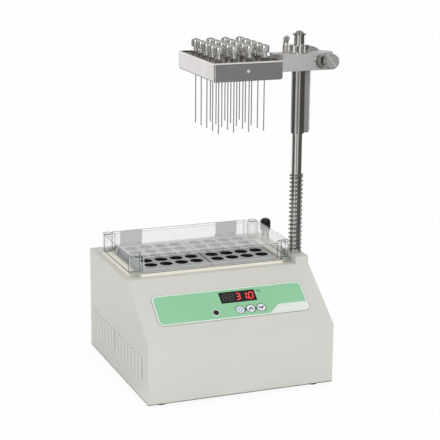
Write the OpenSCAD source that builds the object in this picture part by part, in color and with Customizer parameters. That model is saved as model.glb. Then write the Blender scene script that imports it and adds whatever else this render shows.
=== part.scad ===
// Nitrogen sample evaporator: a two-block tube heater with a hinged clear lid, and a gas head
// of twenty needles on a spring-buffered column with a rack and pinion height drive.
// X runs across the front, Y to the back, Z up. The origin is the middle of the bottom plate's
// underside. Heights are given above that plane, depths back from the front face.

/* [Base housing] */
// Width of the sheet metal housing
base_w = 210; // [200:1:240]
// Depth of the housing
base_d = 207; // [205:1:240]
// Height of the vertical front face
front_h = 64.5; // [55:0.5:75]
// Height of the flat top
top_h = 114.5; // [108:0.5:130]
// Depth over which the sloping panel rises
slope_d = 68.5; // [64:0.5:70]
// Thickness of the housing sheet
sheet = 1.5; // [1:0.1:2]
// Width of the raised column seat
seat_w = 14.6; // [13:0.1:15]
// Depth of the raised column seat
seat_d = 38; // [30:1:44]
// Height of the raised column seat
seat_h = 8; // [5:0.5:12]
// Diameter of a rubber foot
foot_d = 15; // [12:0.5:20]
// Height of a rubber foot
foot_h = 5; // [3:0.5:8]
// Distance of a foot's axis from the side wall
foot_in_x = 18; // [14:1:30]
// Distance of a foot's axis from the front and back faces
foot_in_y = 14; // [14:1:30]

/* [Side louvres] */
// Louvres in the front group of each side
louvre_n1 = 8; // [3:1:8]
// Louvres in the rear group of each side
louvre_n2 = 7; // [3:1:7]
// Spacing of the louvres
louvre_pitch = 11.6; // [8:0.1:11.7]
// Height of a louvre
louvre_h = 25; // [15:1:30]
// Height of a louvre's lower end
louvre_z = 21; // [12:1:24]
// Length of a louvre along the side
louvre_l = 6; // [5:0.5:7]
// How far a louvre is pressed out
louvre_out = 1.4; // [1.2:0.1:2]
// Distance of the first louvre from the front
louvre_y = 22; // [18:1:26]
// Extra gap between the two groups
louvre_gap = 2; // [0:0.5:4]

/* [Control panel] */
// Width of the printed label
label_w = 169; // [150:1:180]
// Height of the label along the slope
label_h = 36; // [32:0.5:40]
// Distance of the label's lower edge above the lower bend
label_v = 24; // [18:0.5:28]
// Thickness of the label
label_t = 0.4; // [0.3:0.1:0.8]
// Width of the display window
display_w = 41; // [35:0.5:46]
// Height of the display window
display_h = 14.5; // [10:0.5:15]
// Sideways place of the display's centre
display_x = 9.5; // [0:0.5:14]
// Diameter of a push button
button_d = 10.6; // [8:0.1:11]
// Spacing of the push buttons
button_pitch = 12.1; // [11.5:0.1:14]
// Travel of a push button
button_travel = 0.6; // [0.4:0.1:1]
// Sideways place of the signal lamp
lamp_x = -20.7; // [-30:0.1:-12]
// Diameter of the signal lamp
lamp_d = 6.4; // [4:0.1:8]

/* [Tube blocks] */
// Width of one drilled block
block_w = 76.5; // [74:0.5:78]
// Depth of a block
block_d = 95.5; // [92:0.5:97]
// Height of a block
block_h = 52; // [48:1:56]
// Height of the blocks' tops over the housing's top
block_rise = 6.5; // [4:0.5:8]
// Gap between the two blocks
block_gap = 0.5; // [0.3:0.1:1]
// Diameter of a tube well
well_d = 14.5; // [12:0.1:15.5]
// Depth of a tube well
well_depth = 45; // [30:1:46]
// Spacing of the wells and of the needles
well_pitch = 17.6; // [17:0.1:17.8]
// Sideways place of the middle of the bath
bath_x = -4; // [-4.5:0.1:-3.5]
// Depth from the front of the middle of the bath
bath_y = 132; // [131:0.5:134]
// Gap between the blocks and the pan around them
pan_gap = 0.3; // [0.2:0.1:0.8]
// Thickness of the pan's sheet
pan_t = 1.2; // [0.8:0.1:1.5]
// Thickness of the heater plate under the blocks
heater_t = 8; // [5:0.5:10]
// How high the blocks can be lifted under the closed lid
block_lift = 12; // [6:1:14]

/* [Tray frame and lid] */
// Width of the cream tray frame
tray_w = 188; // [186:0.5:188]
// Depth of the tray frame
tray_d = 110.5; // [108:0.5:112]
// Height of the tray frame
tray_h = 3; // [2:0.5:4]
// Width of the frame's notch at each corner
tray_notch_x = 12; // [8:0.5:14]
// Depth of the frame's notch at each corner
tray_notch_y = 8.5; // [4:0.5:9]
// Width of the frame's front and back borders
tray_border_y = 6; // [5:0.5:6]
// Width of the frame's side borders
tray_border_x = 9; // [8:0.5:10]
// Width of the frame round its notched corners
tray_corner = 4; // [3:0.5:4.5]
// Width of the clear lid
lid_w = 187; // [185:0.5:187]
// Depth of the clear lid
lid_d = 109; // [107:0.5:110]
// Height of the clear lid
lid_h = 19.8; // [17:0.1:24]
// Wall thickness of the lid
lid_t = 2; // [1.5:0.1:3]
// Width of the lid's notch at each corner
notch_x = 12.5; // [11.5:0.1:12.5]
// Depth of the lid's notch at each corner
notch_y = 10.5; // [10:0.1:11]
// Diameter of a clear corner post
post_d = 10.8; // [9:0.1:10.8]
// Set-back of a post from the lid's front and back
post_in = 1.1; // [0.5:0.1:1.2]
// Length of a hinge plate
hinge_l = 26; // [20:1:32]
// Distance of each hinge's middle from the middle of the lid
hinge_x = 58; // [45:1:66]
// Height of the hinge plate on the lid's back wall
hinge_h = 16; // [9:0.5:16]
// Thickness of a hinge plate
hinge_t = 1.2; // [1:0.1:1.5]
// Diameter of the hinge pin
hinge_pin_d = 2; // [1.5:0.1:2.5]
// Outer diameter of a hinge knuckle
knuckle_d = 4.4; // [4:0.1:5]

/* [Column] */
// Sideways place of the column's axis
column_x = 97.4; // [97.2:0.1:97.6]
// Depth of the column's axis from the front
column_y = 88.4; // [87:0.1:90]
// Diameter of the column rod
rod_d = 11; // [10:0.1:11]
// Height of the rod's top
rod_top = 369.5; // [369:0.5:400]
// Rise of the rod's domed end
rod_dome = 3.2; // [2:0.1:3.2]
// Diameter of the collar at the rod's foot
collar_d = 14.4; // [13:0.1:14.4]
// Height of the collar
collar_h = 2.5; // [1.5:0.5:4]
// Height of the stop ring above which the carriage can't rise
stop_z = 365; // [363:0.5:396]
// Diameter of the stop ring
stop_d = 14.8; // [13:0.1:18]
// Outside diameter of the buffer spring
spring_d = 15.2; // [15.1:0.1:15.6]
// Diameter of the spring wire
spring_wire = 1.5; // [1.3:0.1:1.5]
// Height of the spring's top
spring_top = 212; // [190:1:213]
// Turns of the spring
spring_turns = 19; // [12:1:22]

/* [Carriage] */
// Outside diameter of the guide sleeve
sleeve_d = 14.6; // [13:0.1:15]
// Height of the sleeve's lower end
sleeve_z = 257.5; // [250:0.5:262]
// Width of the toothed strip beside the sleeve
strip_w = 7; // [6:0.1:8]
// Thickness of the toothed strip
strip_t = 3; // [2:0.1:4]
// Diameter of the round nut on top of the sleeve
nut_d = 21; // [18:0.5:21.5]
// Height of the round nut
nut_h = 9; // [7:0.5:10]
// How far the carriage drops before the sleeve meets the spring
lift_down = 45; // [20:1:45]
// How far the arm can be wound down the sleeve
wind_down = 60; // [20:1:62]

/* [Rack drive] */
// Gear module of the rack and pinion
gear_m = 0.6; // [0.5:0.1:0.8]
// Teeth of the pinion
pinion_n = 22; // [16:1:22]
// Width of the pinion
pinion_w = 5; // [4:0.5:8]
// Play taken off each flank of the teeth
backlash = 0.09; // [0.06:0.01:0.12]
// Diameter of the pinion's shaft
shaft_d = 5; // [4:0.1:6]
// Diameter of the rear hand knob
hand_knob_d = 26; // [24:0.5:32]
// Thickness of the hand knob
hand_knob_t = 9; // [6:0.5:12]
// Diameter of the front bush
bush_d = 14.6; // [12:0.1:14.6]
// Diameter of the clamp screw's head
clamp_d = 16.8; // [14:0.1:18]
// Thickness of the clamp screw's head
clamp_t = 6.5; // [4:0.5:8]
// Distance of the clamp screw from the column's axis
clamp_x = 30.1; // [29.8:0.1:32]
// Distance of the clamp screw's head from the arm
clamp_neck = 4.8; // [4.8:0.1:7]
// Diameter of the clamp screw's shank
clamp_shank_d = 4; // [3:0.1:4]

/* [Arm] */
// Width of the folded arm
arm_w = 21; // [21:0.5:24]
// How far the arm's round end is centred short of the clamp screw
arm_end_in = 1.5; // [0:0.1:2]
// Height of the arm
arm_h = 18.5; // [17:0.5:20]
// Height of the arm's lower edge
arm_z = 327; // [325:0.5:328]
// Thickness of the arm's sheet
arm_t = 1.5; // [1.2:0.1:2]
// Diameter of the gas elbow's tube
elbow_d = 6; // [5:0.5:7]
// Distance of the elbow's axis from the head's side
elbow_in = 9.5; // [7:0.5:9.5]
// Bend radius of the elbow
elbow_r = 7; // [6:0.5:9]
// Height of the elbow over the arm
elbow_h = 16.5; // [16:0.5:20]
// How much wider the elbow's foot is than its tube, over corners
elbow_foot = 1.4; // [1:0.1:1.4]
// Length of the elbow's free run
elbow_run = 13; // [8:0.5:14]
// Sideways turn of the elbow behind the column, in degrees
elbow_turn = 62; // [56:1:75]

/* [Gas head] */
// Width of the open head box
head_w = 80; // [78:0.5:82]
// Depth of the head box
head_d = 106.5; // [100:0.5:110]
// Height of the head box
head_h = 20; // [18:0.5:24]
// Height of the head box's underside
head_z = 319; // [316:0.5:320]
// Thickness of the head box's sheet
head_t = 1.2; // [1:0.1:1.5]
// Radius of the head box's lower edges
head_r = 3; // [1:0.5:4]
// Height of the gas chamber in the box
chamber_h = 15; // [12:0.5:16]
// Outside diameter of a needle
needle_d = 1.2; // [0.8:0.1:1.6]
// Height of the needle tips
needle_z = 260.5; // [230:0.5:280]
// Width across the flats of a needle hub
hub_w = 8; // [7:0.5:9]
// Height of a needle hub
hub_h = 6; // [4:0.5:7]
// Diameter of a knurled cap
cap_d = 10; // [8:0.1:12]
// Height of a cap's knurled part
cap_h = 8.3; // [6:0.1:10]
// Height of the neck under a cap
neck_h = 5.7; // [3:0.1:7]
// Grooves round a cap
cap_grooves = 18; // [12:1:24]

/* [Back and gas valve] */
// Width of the mains module
mains_w = 50; // [48:1:54]
// Height of the mains module
mains_h = 27; // [26:1:30]
// Sideways place of the mains module
mains_x = -55; // [-65:1:-45]
// Height of the mains module's middle
mains_z = 46; // [35:1:55]
// Diameter of the black gas knob
gas_knob_d = 12; // [10:0.1:13]
// Height of the gas knob
gas_knob_h = 14; // [10:0.5:18]
// Depth of the gas valve from the front
gas_valve_y = 172; // [165:1:180]
// Height of the valve bush over the housing
valve_h = 12.5; // [8:0.5:15]
// Diameter of the valve's bush
valve_bush_d = 9; // [8.5:0.5:12]
// Width of the valve's hexagon over its corners
valve_hex_d = 13; // [12:0.5:13]
// Diameter of the valve's threaded tail
valve_tail_d = 8; // [6:0.5:8]
// Length of the valve's tail below the housing's top
valve_tail_l = 18; // [10:1:22]
// Diameter of the nut on the valve's tail
valve_nut_d = 11; // [10:0.5:11]
// Drop of the gas inlet below the housing's top
inlet_drop = 30; // [20:1:40]
// Length of the gas inlet's barb outside the rear panel
inlet_out = 18; // [16:1:24]
// Length of the gas inlet inside the rear panel
inlet_in = 10; // [6:1:14]

/* [Fits] */
// Radial play of a turning or sliding fit
run = 0.05; // [0.03:0.01:0.08]
// Gap between pieces that only pass each other
clear = 0.3; // [0.2:0.05:0.5]

/* [Hidden] */
$fn = 48;
// Overrun of a cutting solid past the face it cuts
eps = 1;

// Room beside the bath: the left margin and the column with its spring on the right
bath_margin = 7.5;
span_w = max(lid_w, tray_w - 1);
housing_w = max(base_w, bath_margin + span_w + clear + spring_d);
column_cx = max(column_x, bath_x + span_w / 2 + clear + spring_d / 2);

// The front face's place and the slope's angle and length
y0 = -base_d / 2;
slope_a = atan((top_h - front_h) / slope_d);
slope_len = norm([slope_d, top_h - front_h]);
inner_w = housing_w - 2 * sheet;

// Bath: wells, blocks, pan
well_cols = 4;
well_rows = 5;
row_names = ["a", "b", "c", "d", "e"];
bath_cy = y0 + bath_y;
bath_w = 2 * block_w + block_gap;
block_top = top_h + block_rise;
block_z = block_top - block_h;
block_dx = (block_w + block_gap) / 2;
pan_in_w = bath_w + 2 * pan_gap;
pan_in_d = block_d + 2 * pan_gap;
heater_z = block_z - heater_t;
border_x = min(tray_border_x, (tray_w - bath_w) / 2 - 4);
tray_in_w = tray_w - 2 * border_x;
tray_in_d = tray_d - 2 * tray_border_y;
in_notch_x = tray_notch_x - border_x + tray_corner;
in_notch_y = tray_notch_y - tray_border_y + tray_corner;
tray_top = top_h + tray_h;

// Lid and its hinge
lid_z = tray_top + 0.2;
lid_back = bath_cy + lid_d / 2;
hinge_seat_y = max(lid_back, bath_cy + tray_d / 2 - 0.75);
pin_y = hinge_seat_y + hinge_t + knuckle_d / 2 - 0.7;
pin_z = tray_top + knuckle_d / 2 + 0.6;
knuckle_l = hinge_l / 3;
knuckle_gap = 0.2;

// Column, carriage and drive
column_cy = y0 + column_y;
seat_top = top_h + seat_h;
collar_z = seat_top + 0.1;
spring_z = collar_z + collar_h;
arm_top = arm_z + arm_h;
nut_z = arm_top + 0.1;
sleeve_top = nut_z + nut_h - 3;
strip_tip = sleeve_d / 2 - 0.15 + strip_w;
pinion_r = gear_m * pinion_n / 2;
pinion_x = strip_tip - gear_m + pinion_r;
drive_z = arm_z + arm_h / 2 + 0.75;
arm_front = column_cy - arm_w / 2;
arm_back = column_cy + arm_w / 2;
strip_top = arm_top;
knob_gap = 1.2;

// Gas head
head_cx = bath_x + block_dx;
head_right = head_cx + head_w / 2;
chamber_z = head_z + head_t;
chamber_top = chamber_z + chamber_h;
hub_top = chamber_top + hub_h;
stem_d = 4.6;
elbow_x = head_right + elbow_in;
elbow_y = column_cy + arm_w / 2 - arm_t - elbow_d / 2 - 0.5;
feed_z = arm_z + elbow_d / 2 + 1;
elbow_top = arm_top + elbow_h;

// ---------- shared shapes ----------

// A rounded rectangle centred on the origin
module round_rect(w, h, r) {
    square([w - 2 * r, h], center = true);
    square([w, h - 2 * r], center = true);
    for (x = [-1, 1], y = [-1, 1])
        translate([x * (w / 2 - r), y * (h / 2 - r)]) circle(r);
}

// A rectangle with its four corners notched out
module notched_rect(w, h, nx, ny) {
    square([w - 2 * nx, h], center = true);
    square([w, h - 2 * ny], center = true);
}

// Places children on the sloping panel: u to the right, v up the slope, Z along its outward normal
module on_slope(u, v) {
    translate([u, y0 + v * cos(slope_a), front_h + v * sin(slope_a)])
        rotate([slope_a, 0, 0]) children();
}

// A bar along Y from y to y + l, with its axis at x, z
module y_bar(x, y, z, l, d) {
    translate([x, y, z]) rotate([-90, 0, 0]) cylinder(d = d, h = l);
}

// A disc with straight grooves round its rim, its base on the plane Z = 0
module knurled_disc(d, h, n, depth) {
    linear_extrude(h) polygon([
        for (i = [0:2 * n - 1]) let (r = d / 2 - (i % 2) * depth, a = i * 180 / n)
            [r * cos(a), r * sin(a)]
    ]);
}

// Places children over each well of the block centred on X = cx
module each_well(cx) {
    for (i = [0:well_cols - 1], j = [0:well_rows - 1])
        translate([cx + (i - (well_cols - 1) / 2) * well_pitch,
                   bath_cy + (j - (well_rows - 1) / 2) * well_pitch, 0]) children();
}

// ---------- base ----------

// Side outline of the housing, drawn inwards by t on every face but the open bottom and back
module side_outline(t, below, behind) {
    drop = t / cos(slope_a);
    polygon([
        [t, -below],
        [t, front_h + t * tan(slope_a) - drop],
        [slope_d + (drop - t) / tan(slope_a), top_h - t],
        [base_d + behind, top_h - t],
        [base_d + behind, -below]
    ]);
}

module along_x(w) {
    translate([-w / 2, y0, 0]) rotate([90, 0, 90]) linear_extrude(w) children();
}

// Places children at the front foot of each louvre of the left side
module each_louvre() {
    for (i = [0:louvre_n1 + louvre_n2 - 1])
        translate([-housing_w / 2, y0 + louvre_y + i * louvre_pitch
                   + (i < louvre_n1 ? 0 : louvre_gap), louvre_z]) children();
}

// Pressed-out hood of one louvre, closed at the front and open to the back
module louvre_hood() {
    linear_extrude(louvre_h) polygon([
        [0.01, 0], [-louvre_out, louvre_l * 0.65], [-louvre_out, louvre_l], [0.01, louvre_l]
    ]);
}

module louvre_cut() {
    lip = 0.8;
    translate([0, 0, lip]) linear_extrude(louvre_h - 2 * lip) polygon([
        [sheet + eps, lip], [0, lip * 1.6], [lip - louvre_out, louvre_l * 0.65 + lip / 3],
        [lip - louvre_out, louvre_l + eps], [0, louvre_l + eps], [0, louvre_l - lip],
        [sheet + eps, louvre_l - lip]
    ]);
}

module housing() {
    color([0.83, 0.82, 0.79])
    difference() {
        union() {
            difference() {
                along_x(housing_w) side_outline(0, 0, 0);
                along_x(inner_w) side_outline(sheet, eps, eps);
            }
            for (side = [0, 1]) mirror([side, 0, 0]) each_louvre() louvre_hood();
            translate([housing_w / 2 - seat_w, y0 + slope_d, top_h - sheet])
                cube([seat_w, seat_d, seat_h + sheet]);
        }
        for (side = [0, 1]) mirror([side, 0, 0]) each_louvre() louvre_cut();
        translate([bath_x, bath_cy, top_h]) cube([
            pan_in_w + 2 * pan_t, pan_in_d + 2 * pan_t, 4 * sheet], center = true);
        translate([column_cx, column_cy, top_h - 2 * sheet])
            cylinder(d = rod_d + 2 * run, h = seat_h + 4 * sheet);
        translate([column_cx, y0 + gas_valve_y, top_h - 2 * sheet]) cylinder(d = valve_tail_d, h = 4 * sheet);
        panel_cutouts(2 * sheet + eps, clear / 2);
    }
}

// Solids that pierce the sloping panel for the display, the buttons and the lamp
module panel_cutouts(depth, gap) {
    on_slope(display_x, display_v()) translate([0, 0, -depth / 2]) linear_extrude(depth)
        square([display_w, display_h], center = true);
    for (i = [-1:1]) on_slope(display_x + i * button_pitch + 9.4, button_v())
        translate([0, 0, -depth / 2]) cylinder(d = button_d + 2 * gap, h = depth);
    on_slope(lamp_x, button_v()) translate([0, 0, -depth / 2]) cylinder(d = lamp_d, h = depth);
}

function display_v() = label_v + label_h - 3.5 - display_h / 2;
function button_v() = label_v + 7.4;

module bottom_plate() {
    color([0.72, 0.72, 0.7])
    translate([-inner_w / 2, y0 + sheet, 0]) cube([inner_w, base_d - sheet, sheet]);
}

module rear_panel() {
    color([0.83, 0.82, 0.79])
    difference() {
        translate([-inner_w / 2, -y0 - sheet, sheet])
            cube([inner_w, sheet, top_h - 2 * sheet]);
        translate([mains_x, -y0, mains_z])
            cube([mains_w - 4, 4 * sheet, mains_h - 4], center = true);
        y_bar(gas_inlet_x(), -y0 - 2 * sheet, gas_inlet_z(), 4 * sheet, 8);
    }
}

function gas_inlet_x() = column_cx - 22;
function gas_inlet_z() = top_h - inlet_drop;

module feet() {
    color([0.06, 0.06, 0.06])
    for (x = [-1, 1], y = [-1, 1])
        translate([x * (housing_w / 2 - foot_in_x), y * (base_d / 2 - foot_in_y), -foot_h])
            rotate_extrude() polygon([
                [0, 0], [foot_d / 2 - 1.2, 0], [foot_d / 2 - 0.4, 0.8],
                [foot_d / 2, foot_h], [0, foot_h]
            ]);
}

module control_label() {
    color([0.6, 0.82, 0.67])
    difference() {
        on_slope(0, label_v + label_h / 2) linear_extrude(label_t) round_rect(label_w, label_h, 5);
        panel_cutouts(4 * label_t, clear / 2);
    }
}

module display_window() {
    color([0.12, 0.02, 0.02])
    on_slope(display_x, display_v()) translate([0, 0, -sheet - 2])
        linear_extrude(sheet + 2 + label_t + 0.2) square([display_w, display_h], center = true);
}

module signal_lamp() {
    color([0.1, 0.1, 0.1])
    on_slope(lamp_x, button_v()) {
        translate([0, 0, -sheet - 4]) cylinder(d = lamp_d, h = sheet + 4 + label_t + 0.4);
        translate([0, 0, label_t + 0.3]) sphere(d = lamp_d * 0.6);
    }
}

// One push button: i is -1, 0 or 1 from left to right
module push_button(i) {
    color([0.95, 0.95, 0.93])
    on_slope(display_x + i * button_pitch + 9.4, button_v()) {
        translate([0, 0, -sheet - 1.2]) cylinder(d = button_d, h = sheet + 1.2 + label_t + 0.9);
        translate([0, 0, -sheet - 1.2]) cylinder(d = button_d + 1.2, h = 1.1);
    }
}

module gas_valve() {
    color([0.75, 0.74, 0.7])
    translate([column_cx, y0 + gas_valve_y, 0]) {
        translate([0, 0, top_h]) cylinder(d = valve_hex_d, h = 2, $fn = 6);
        translate([0, 0, top_h]) cylinder(d = valve_bush_d, h = valve_h);
        translate([0, 0, top_h - valve_tail_l]) cylinder(d = valve_tail_d, h = valve_tail_l);
        translate([0, 0, top_h - sheet - 3]) cylinder(d = valve_nut_d, h = 3);
        translate([0, 0, top_h + valve_h]) cylinder(d = 4, h = gas_knob_h * 0.7);
    }
}

module gas_knob() {
    dome = 3;
    color([0.05, 0.05, 0.05])
    translate([column_cx, y0 + gas_valve_y, top_h + valve_h + 0.2])
    difference() {
        union() {
            knurled_disc(gas_knob_d, gas_knob_h - dome, 16, 0.4);
            translate([0, 0, gas_knob_h - dome]) rotate_extrude() polygon(concat(
                [[0, 0]], [for (k = [0:6]) let (a = 15 * k)
                    [(gas_knob_d / 2 - 0.6) * cos(a), dome * sin(a)]]));
        }
        translate([0, 0, -eps]) cylinder(d = 4 + 2 * run, h = gas_knob_h * 0.7 + eps + clear);
    }
}

module gas_inlet() {
    color([0.8, 0.68, 0.35])
    translate([gas_inlet_x(), -y0, gas_inlet_z()]) rotate([-90, 0, 0]) difference() {
        union() {
            translate([0, 0, -sheet - inlet_in]) cylinder(d = 8, h = inlet_in + sheet);
            cylinder(d = 13, h = 4, $fn = 6);
            cylinder(d = 6.5, h = inlet_out);
            for (i = [0:2]) translate([0, 0, 7 + 3.5 * i]) cylinder(d1 = 8, d2 = 6.5, h = 3.5);
        }
        translate([0, 0, -sheet - inlet_in - eps])
            cylinder(d = 4, h = inlet_in + inlet_out + sheet + 2 * eps);
    }
}

module power_module() {
    socket_w = 24.5;
    socket_h = 16.5;
    color([0.09, 0.09, 0.1])
    translate([mains_x, -y0, mains_z]) {
        difference() {
            union() {
                translate([-mains_w / 2, 0, -mains_h / 2]) cube([mains_w, 2.5, mains_h]);
                translate([-mains_w / 2 + 2, -22, -mains_h / 2 + 2])
                    cube([mains_w - 4, 22, mains_h - 4]);
            }
            translate([-mains_w / 2 + 5, -16, -socket_h / 2]) cube([socket_w, 20, socket_h]);
            translate([rocker_dx(), 0, 0])
                cube([rocker_w() + 2 * clear, 22, rocker_h() + 2 * clear], center = true);
            translate([rocker_dx() - rocker_w() / 2 - 3, -1.5, 0]) rotate([0, 90, 0])
                cylinder(d = 3 + 2 * run, h = rocker_w() + 6);
        }
        for (i = [-1:1]) translate([-mains_w / 2 + 5 + socket_w / 2 + i * 7, -10, -abs(i) * 2 + 1])
            cube([2, 13, 5], center = true);
    }
}

function rocker_w() = 9;
function rocker_h() = 18;
function rocker_dx() = mains_w / 2 - 9.5;

// The rocker turns about X on two stubs. At rest its upper end is pressed in
module mains_rocker() {
    color([0.13, 0.13, 0.13])
    translate([mains_x + rocker_dx(), -y0 - 1.5, mains_z]) rotate([0, 90, 0])
        translate([0, 0, -rocker_w() / 2]) {
            linear_extrude(rocker_w()) polygon([
                [1.8 - rocker_h() / 2, 3.4], [0, 4.4], [rocker_h() / 2 - 1.8, 5.6],
                [rocker_h() / 2 - 2.4, -1.5], [0, -4.5], [2.4 - rocker_h() / 2, -4]
            ]);
            translate([0, 0, -2.5]) cylinder(d = 3, h = rocker_w() + 5);
        }
}

// ---------- bath ----------

module tray_frame() {
    color([0.94, 0.92, 0.85])
    translate([bath_x, bath_cy, top_h]) linear_extrude(tray_h) difference() {
        notched_rect(tray_w, tray_d, tray_notch_x, tray_notch_y);
        notched_rect(tray_in_w, tray_in_d, in_notch_x, in_notch_y);
    }
}

module block_pan() {
    flange_t = 1;
    out_w = pan_in_w + 2 * pan_t;
    out_d = pan_in_d + 2 * pan_t;
    color([0.7, 0.7, 0.69])
    translate([bath_x, bath_cy, 0]) difference() {
        union() {
            translate([0, 0, top_h]) linear_extrude(flange_t)
                notched_rect(tray_in_w - clear, tray_in_d - clear, in_notch_x, in_notch_y);
            translate([0, 0, heater_z - pan_t]) linear_extrude(top_h - heater_z + pan_t)
                square([out_w, out_d], center = true);
        }
        translate([0, 0, heater_z]) linear_extrude(top_h) square([pan_in_w, pan_in_d], center = true);
    }
}

module heater_plate() {
    color([0.62, 0.62, 0.62])
    difference() {
        translate([bath_x - bath_w / 2, bath_cy - block_d / 2, heater_z])
            cube([bath_w, block_d, heater_t]);
        for (i = [-1, 1]) translate([bath_x + i * block_dx, bath_cy - block_d / 2 + 10,
            heater_z + heater_t / 2]) rotate([-90, 0, 0]) cylinder(d = 5, h = block_d);
    }
}

// One drilled tube block, with its lifting thread in the middle
module tube_block(cx) {
    color([0.66, 0.67, 0.68])
    difference() {
        translate([cx - block_w / 2, bath_cy - block_d / 2, block_z])
            cube([block_w, block_d, block_h]);
        translate([0, 0, block_top - well_depth])
            each_well(cx) cylinder(d = well_d, h = well_depth + eps);
    }
}

module block_left() tube_block(bath_x - block_dx);
module block_right() tube_block(bath_x + block_dx);

// ---------- lid ----------

// Places children at the four corner posts
module each_post() {
    for (x = [-1, 1], y = [-1, 1])
        translate([bath_x + x * (lid_w - post_d) / 2,
                   bath_cy + y * ((lid_d - post_d) / 2 - post_in), lid_z]) children();
}

module lid_shell() {
    inner_h = lid_h - lid_t;
    color([0.85, 0.9, 0.9, 0.35])
    difference() {
        translate([bath_x, bath_cy, lid_z]) difference() {
            linear_extrude(lid_h) notched_rect(lid_w, lid_d, notch_x, notch_y);
            translate([0, 0, -eps]) linear_extrude(inner_h + eps) notched_rect(
                lid_w - 2 * lid_t, lid_d - 2 * lid_t, notch_x, notch_y);
        }
        translate([0, 0, -eps]) each_post() cylinder(d = post_d + 2 * run, h = lid_h + 2 * eps);
    }
}

module lid_posts() {
    color([0.85, 0.9, 0.9, 0.35])
    each_post() difference() {
        cylinder(d = post_d, h = lid_h + 0.6);
        translate([0, 0, lid_h - 4]) cylinder(d = 4, h = 6);
    }
}

// Places children at the two hinges, on the pin's axis
module each_hinge() {
    for (x = [-1, 1]) translate([bath_x + x * hinge_x, pin_y, pin_z]) children();
}

module knuckle(x, l) {
    translate([x + knuckle_gap / 2, 0, 0]) rotate([0, 90, 0])
        cylinder(d = knuckle_d, h = l - knuckle_gap);
}

module lid_hinge_plates() {
    color([0.6, 0.6, 0.6])
    each_hinge() difference() {
        union() {
            translate([-hinge_l / 2, lid_back - pin_y, 0]) cube([hinge_l, hinge_t, hinge_h]);
            translate([-knuckle_l / 2 + knuckle_gap / 2, lid_back - pin_y, 0])
                cube([knuckle_l - knuckle_gap, pin_y - lid_back, knuckle_d / 2]);
            knuckle(-knuckle_l / 2, knuckle_l);
        }
        rotate([0, 90, 0]) cylinder(d = hinge_pin_d + 2 * run, h = hinge_l, center = true);
        for (x = [-1, 1]) translate([x * (knuckle_l + knuckle_l / 2) - (x > 0 ? knuckle_l : 0)
            - knuckle_gap / 2, lid_back - pin_y - eps, -eps])
            cube([knuckle_l + knuckle_gap, hinge_t + 2 * eps, knuckle_d / 2 + clear + eps]);
    }
}

module hinge_base() {
    foot_l = 13;
    wall_y = knuckle_d / 2 - hinge_t;
    color([0.6, 0.6, 0.6])
    each_hinge() {
        for (x = [-1, 1]) knuckle(x > 0 ? knuckle_l / 2 : -1.5 * knuckle_l, knuckle_l);
        rotate([0, 90, 0]) cylinder(d = hinge_pin_d, h = hinge_l - knuckle_gap, center = true);
        for (x = [-1, 1]) translate([(x > 0 ? knuckle_l / 2 : -1.5 * knuckle_l)
            + knuckle_gap / 2, wall_y, top_h - pin_z])
            cube([knuckle_l - knuckle_gap, hinge_t, pin_z - top_h]);
        translate([-hinge_l / 2, wall_y, top_h - pin_z]) cube([hinge_l, foot_l, hinge_t]);
    }
}

// ---------- column and carriage ----------

module at_column() translate([column_cx, column_cy, 0]) children();

module column_rod() {
    tail = 3;
    groove_z = stop_z;
    color([0.42, 0.41, 0.4])
    at_column() difference() {
        union() {
            translate([0, 0, top_h - sheet - tail]) cylinder(d = rod_d, h = rod_top - rod_dome
                - top_h + sheet + tail);
            translate([0, 0, rod_top - rod_dome]) rotate_extrude() polygon(concat([[0, 0]],
                [for (k = [0:8]) let (a = rod_dome_a * (1 - k / 8))
                    [rod_dome_r * sin(a), rod_dome_r * (cos(a) - 1) + rod_dome]]));
            translate([0, 0, collar_z]) cylinder(d = collar_d, h = collar_h);
        }
        translate([0, 0, groove_z]) difference() {
            cylinder(d = rod_d + eps, h = 1.2);
            translate([0, 0, -eps]) cylinder(d = rod_d - 1.6, h = 1.2 + 2 * eps);
        }
    }
}

// Radius of the rod's domed end, and the angle from its top to its rim
rod_dome_r = (pow(rod_d / 2, 2) + pow(rod_dome, 2)) / (2 * rod_dome);
rod_dome_a = asin(rod_d / 2 / rod_dome_r);

// Open ring in the rod's groove, with its gap to the back
module stop_ring() {
    color([0.3, 0.3, 0.3])
    at_column() translate([0, 0, stop_z]) difference() {
        cylinder(d = stop_d, h = 1.2);
        translate([0, 0, -eps]) cylinder(d = rod_d - 1.6 + 2 * run, h = 1.2 + 2 * eps);
        translate([-3, 0, -eps]) cube([6, stop_d, 1.2 + 2 * eps]);
    }
}

// Height of the spring's centreline after t turns: one close turn at each end, the rest even
spring_lead_end = spring_wire + 0.55;
spring_rise = spring_top - spring_z - spring_wire;
spring_lead = (spring_rise - 2 * spring_lead_end) / (spring_turns - 2);
function spring_h(t) = spring_z + spring_wire / 2 + (
    t < 1 ? t * spring_lead_end
    : t > spring_turns - 1 ? spring_rise - (spring_turns - t) * spring_lead_end
    : spring_lead_end + (t - 1) * spring_lead);
spring_r = (spring_d - spring_wire) / 2;
spring_rings = 8;
spring_sides = 6;
function spring_at(t) = [spring_r * cos(360 * t), spring_r * sin(360 * t), spring_h(t)];
spring_line = [for (k = [0:spring_turns * spring_rings]) spring_at(k / spring_rings)];

// Least gap between one turn of the wire and the next, measured on the centreline's points
spring_self_gap = min([for (k = [0:len(spring_line) - spring_rings - 2])
    min([for (s = [-2:1]) let (m = k + spring_rings + s)
        m < len(spring_line) && m > k + 3 ? norm(spring_line[m] - spring_line[k]) : 1000])])
    - spring_wire;

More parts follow.
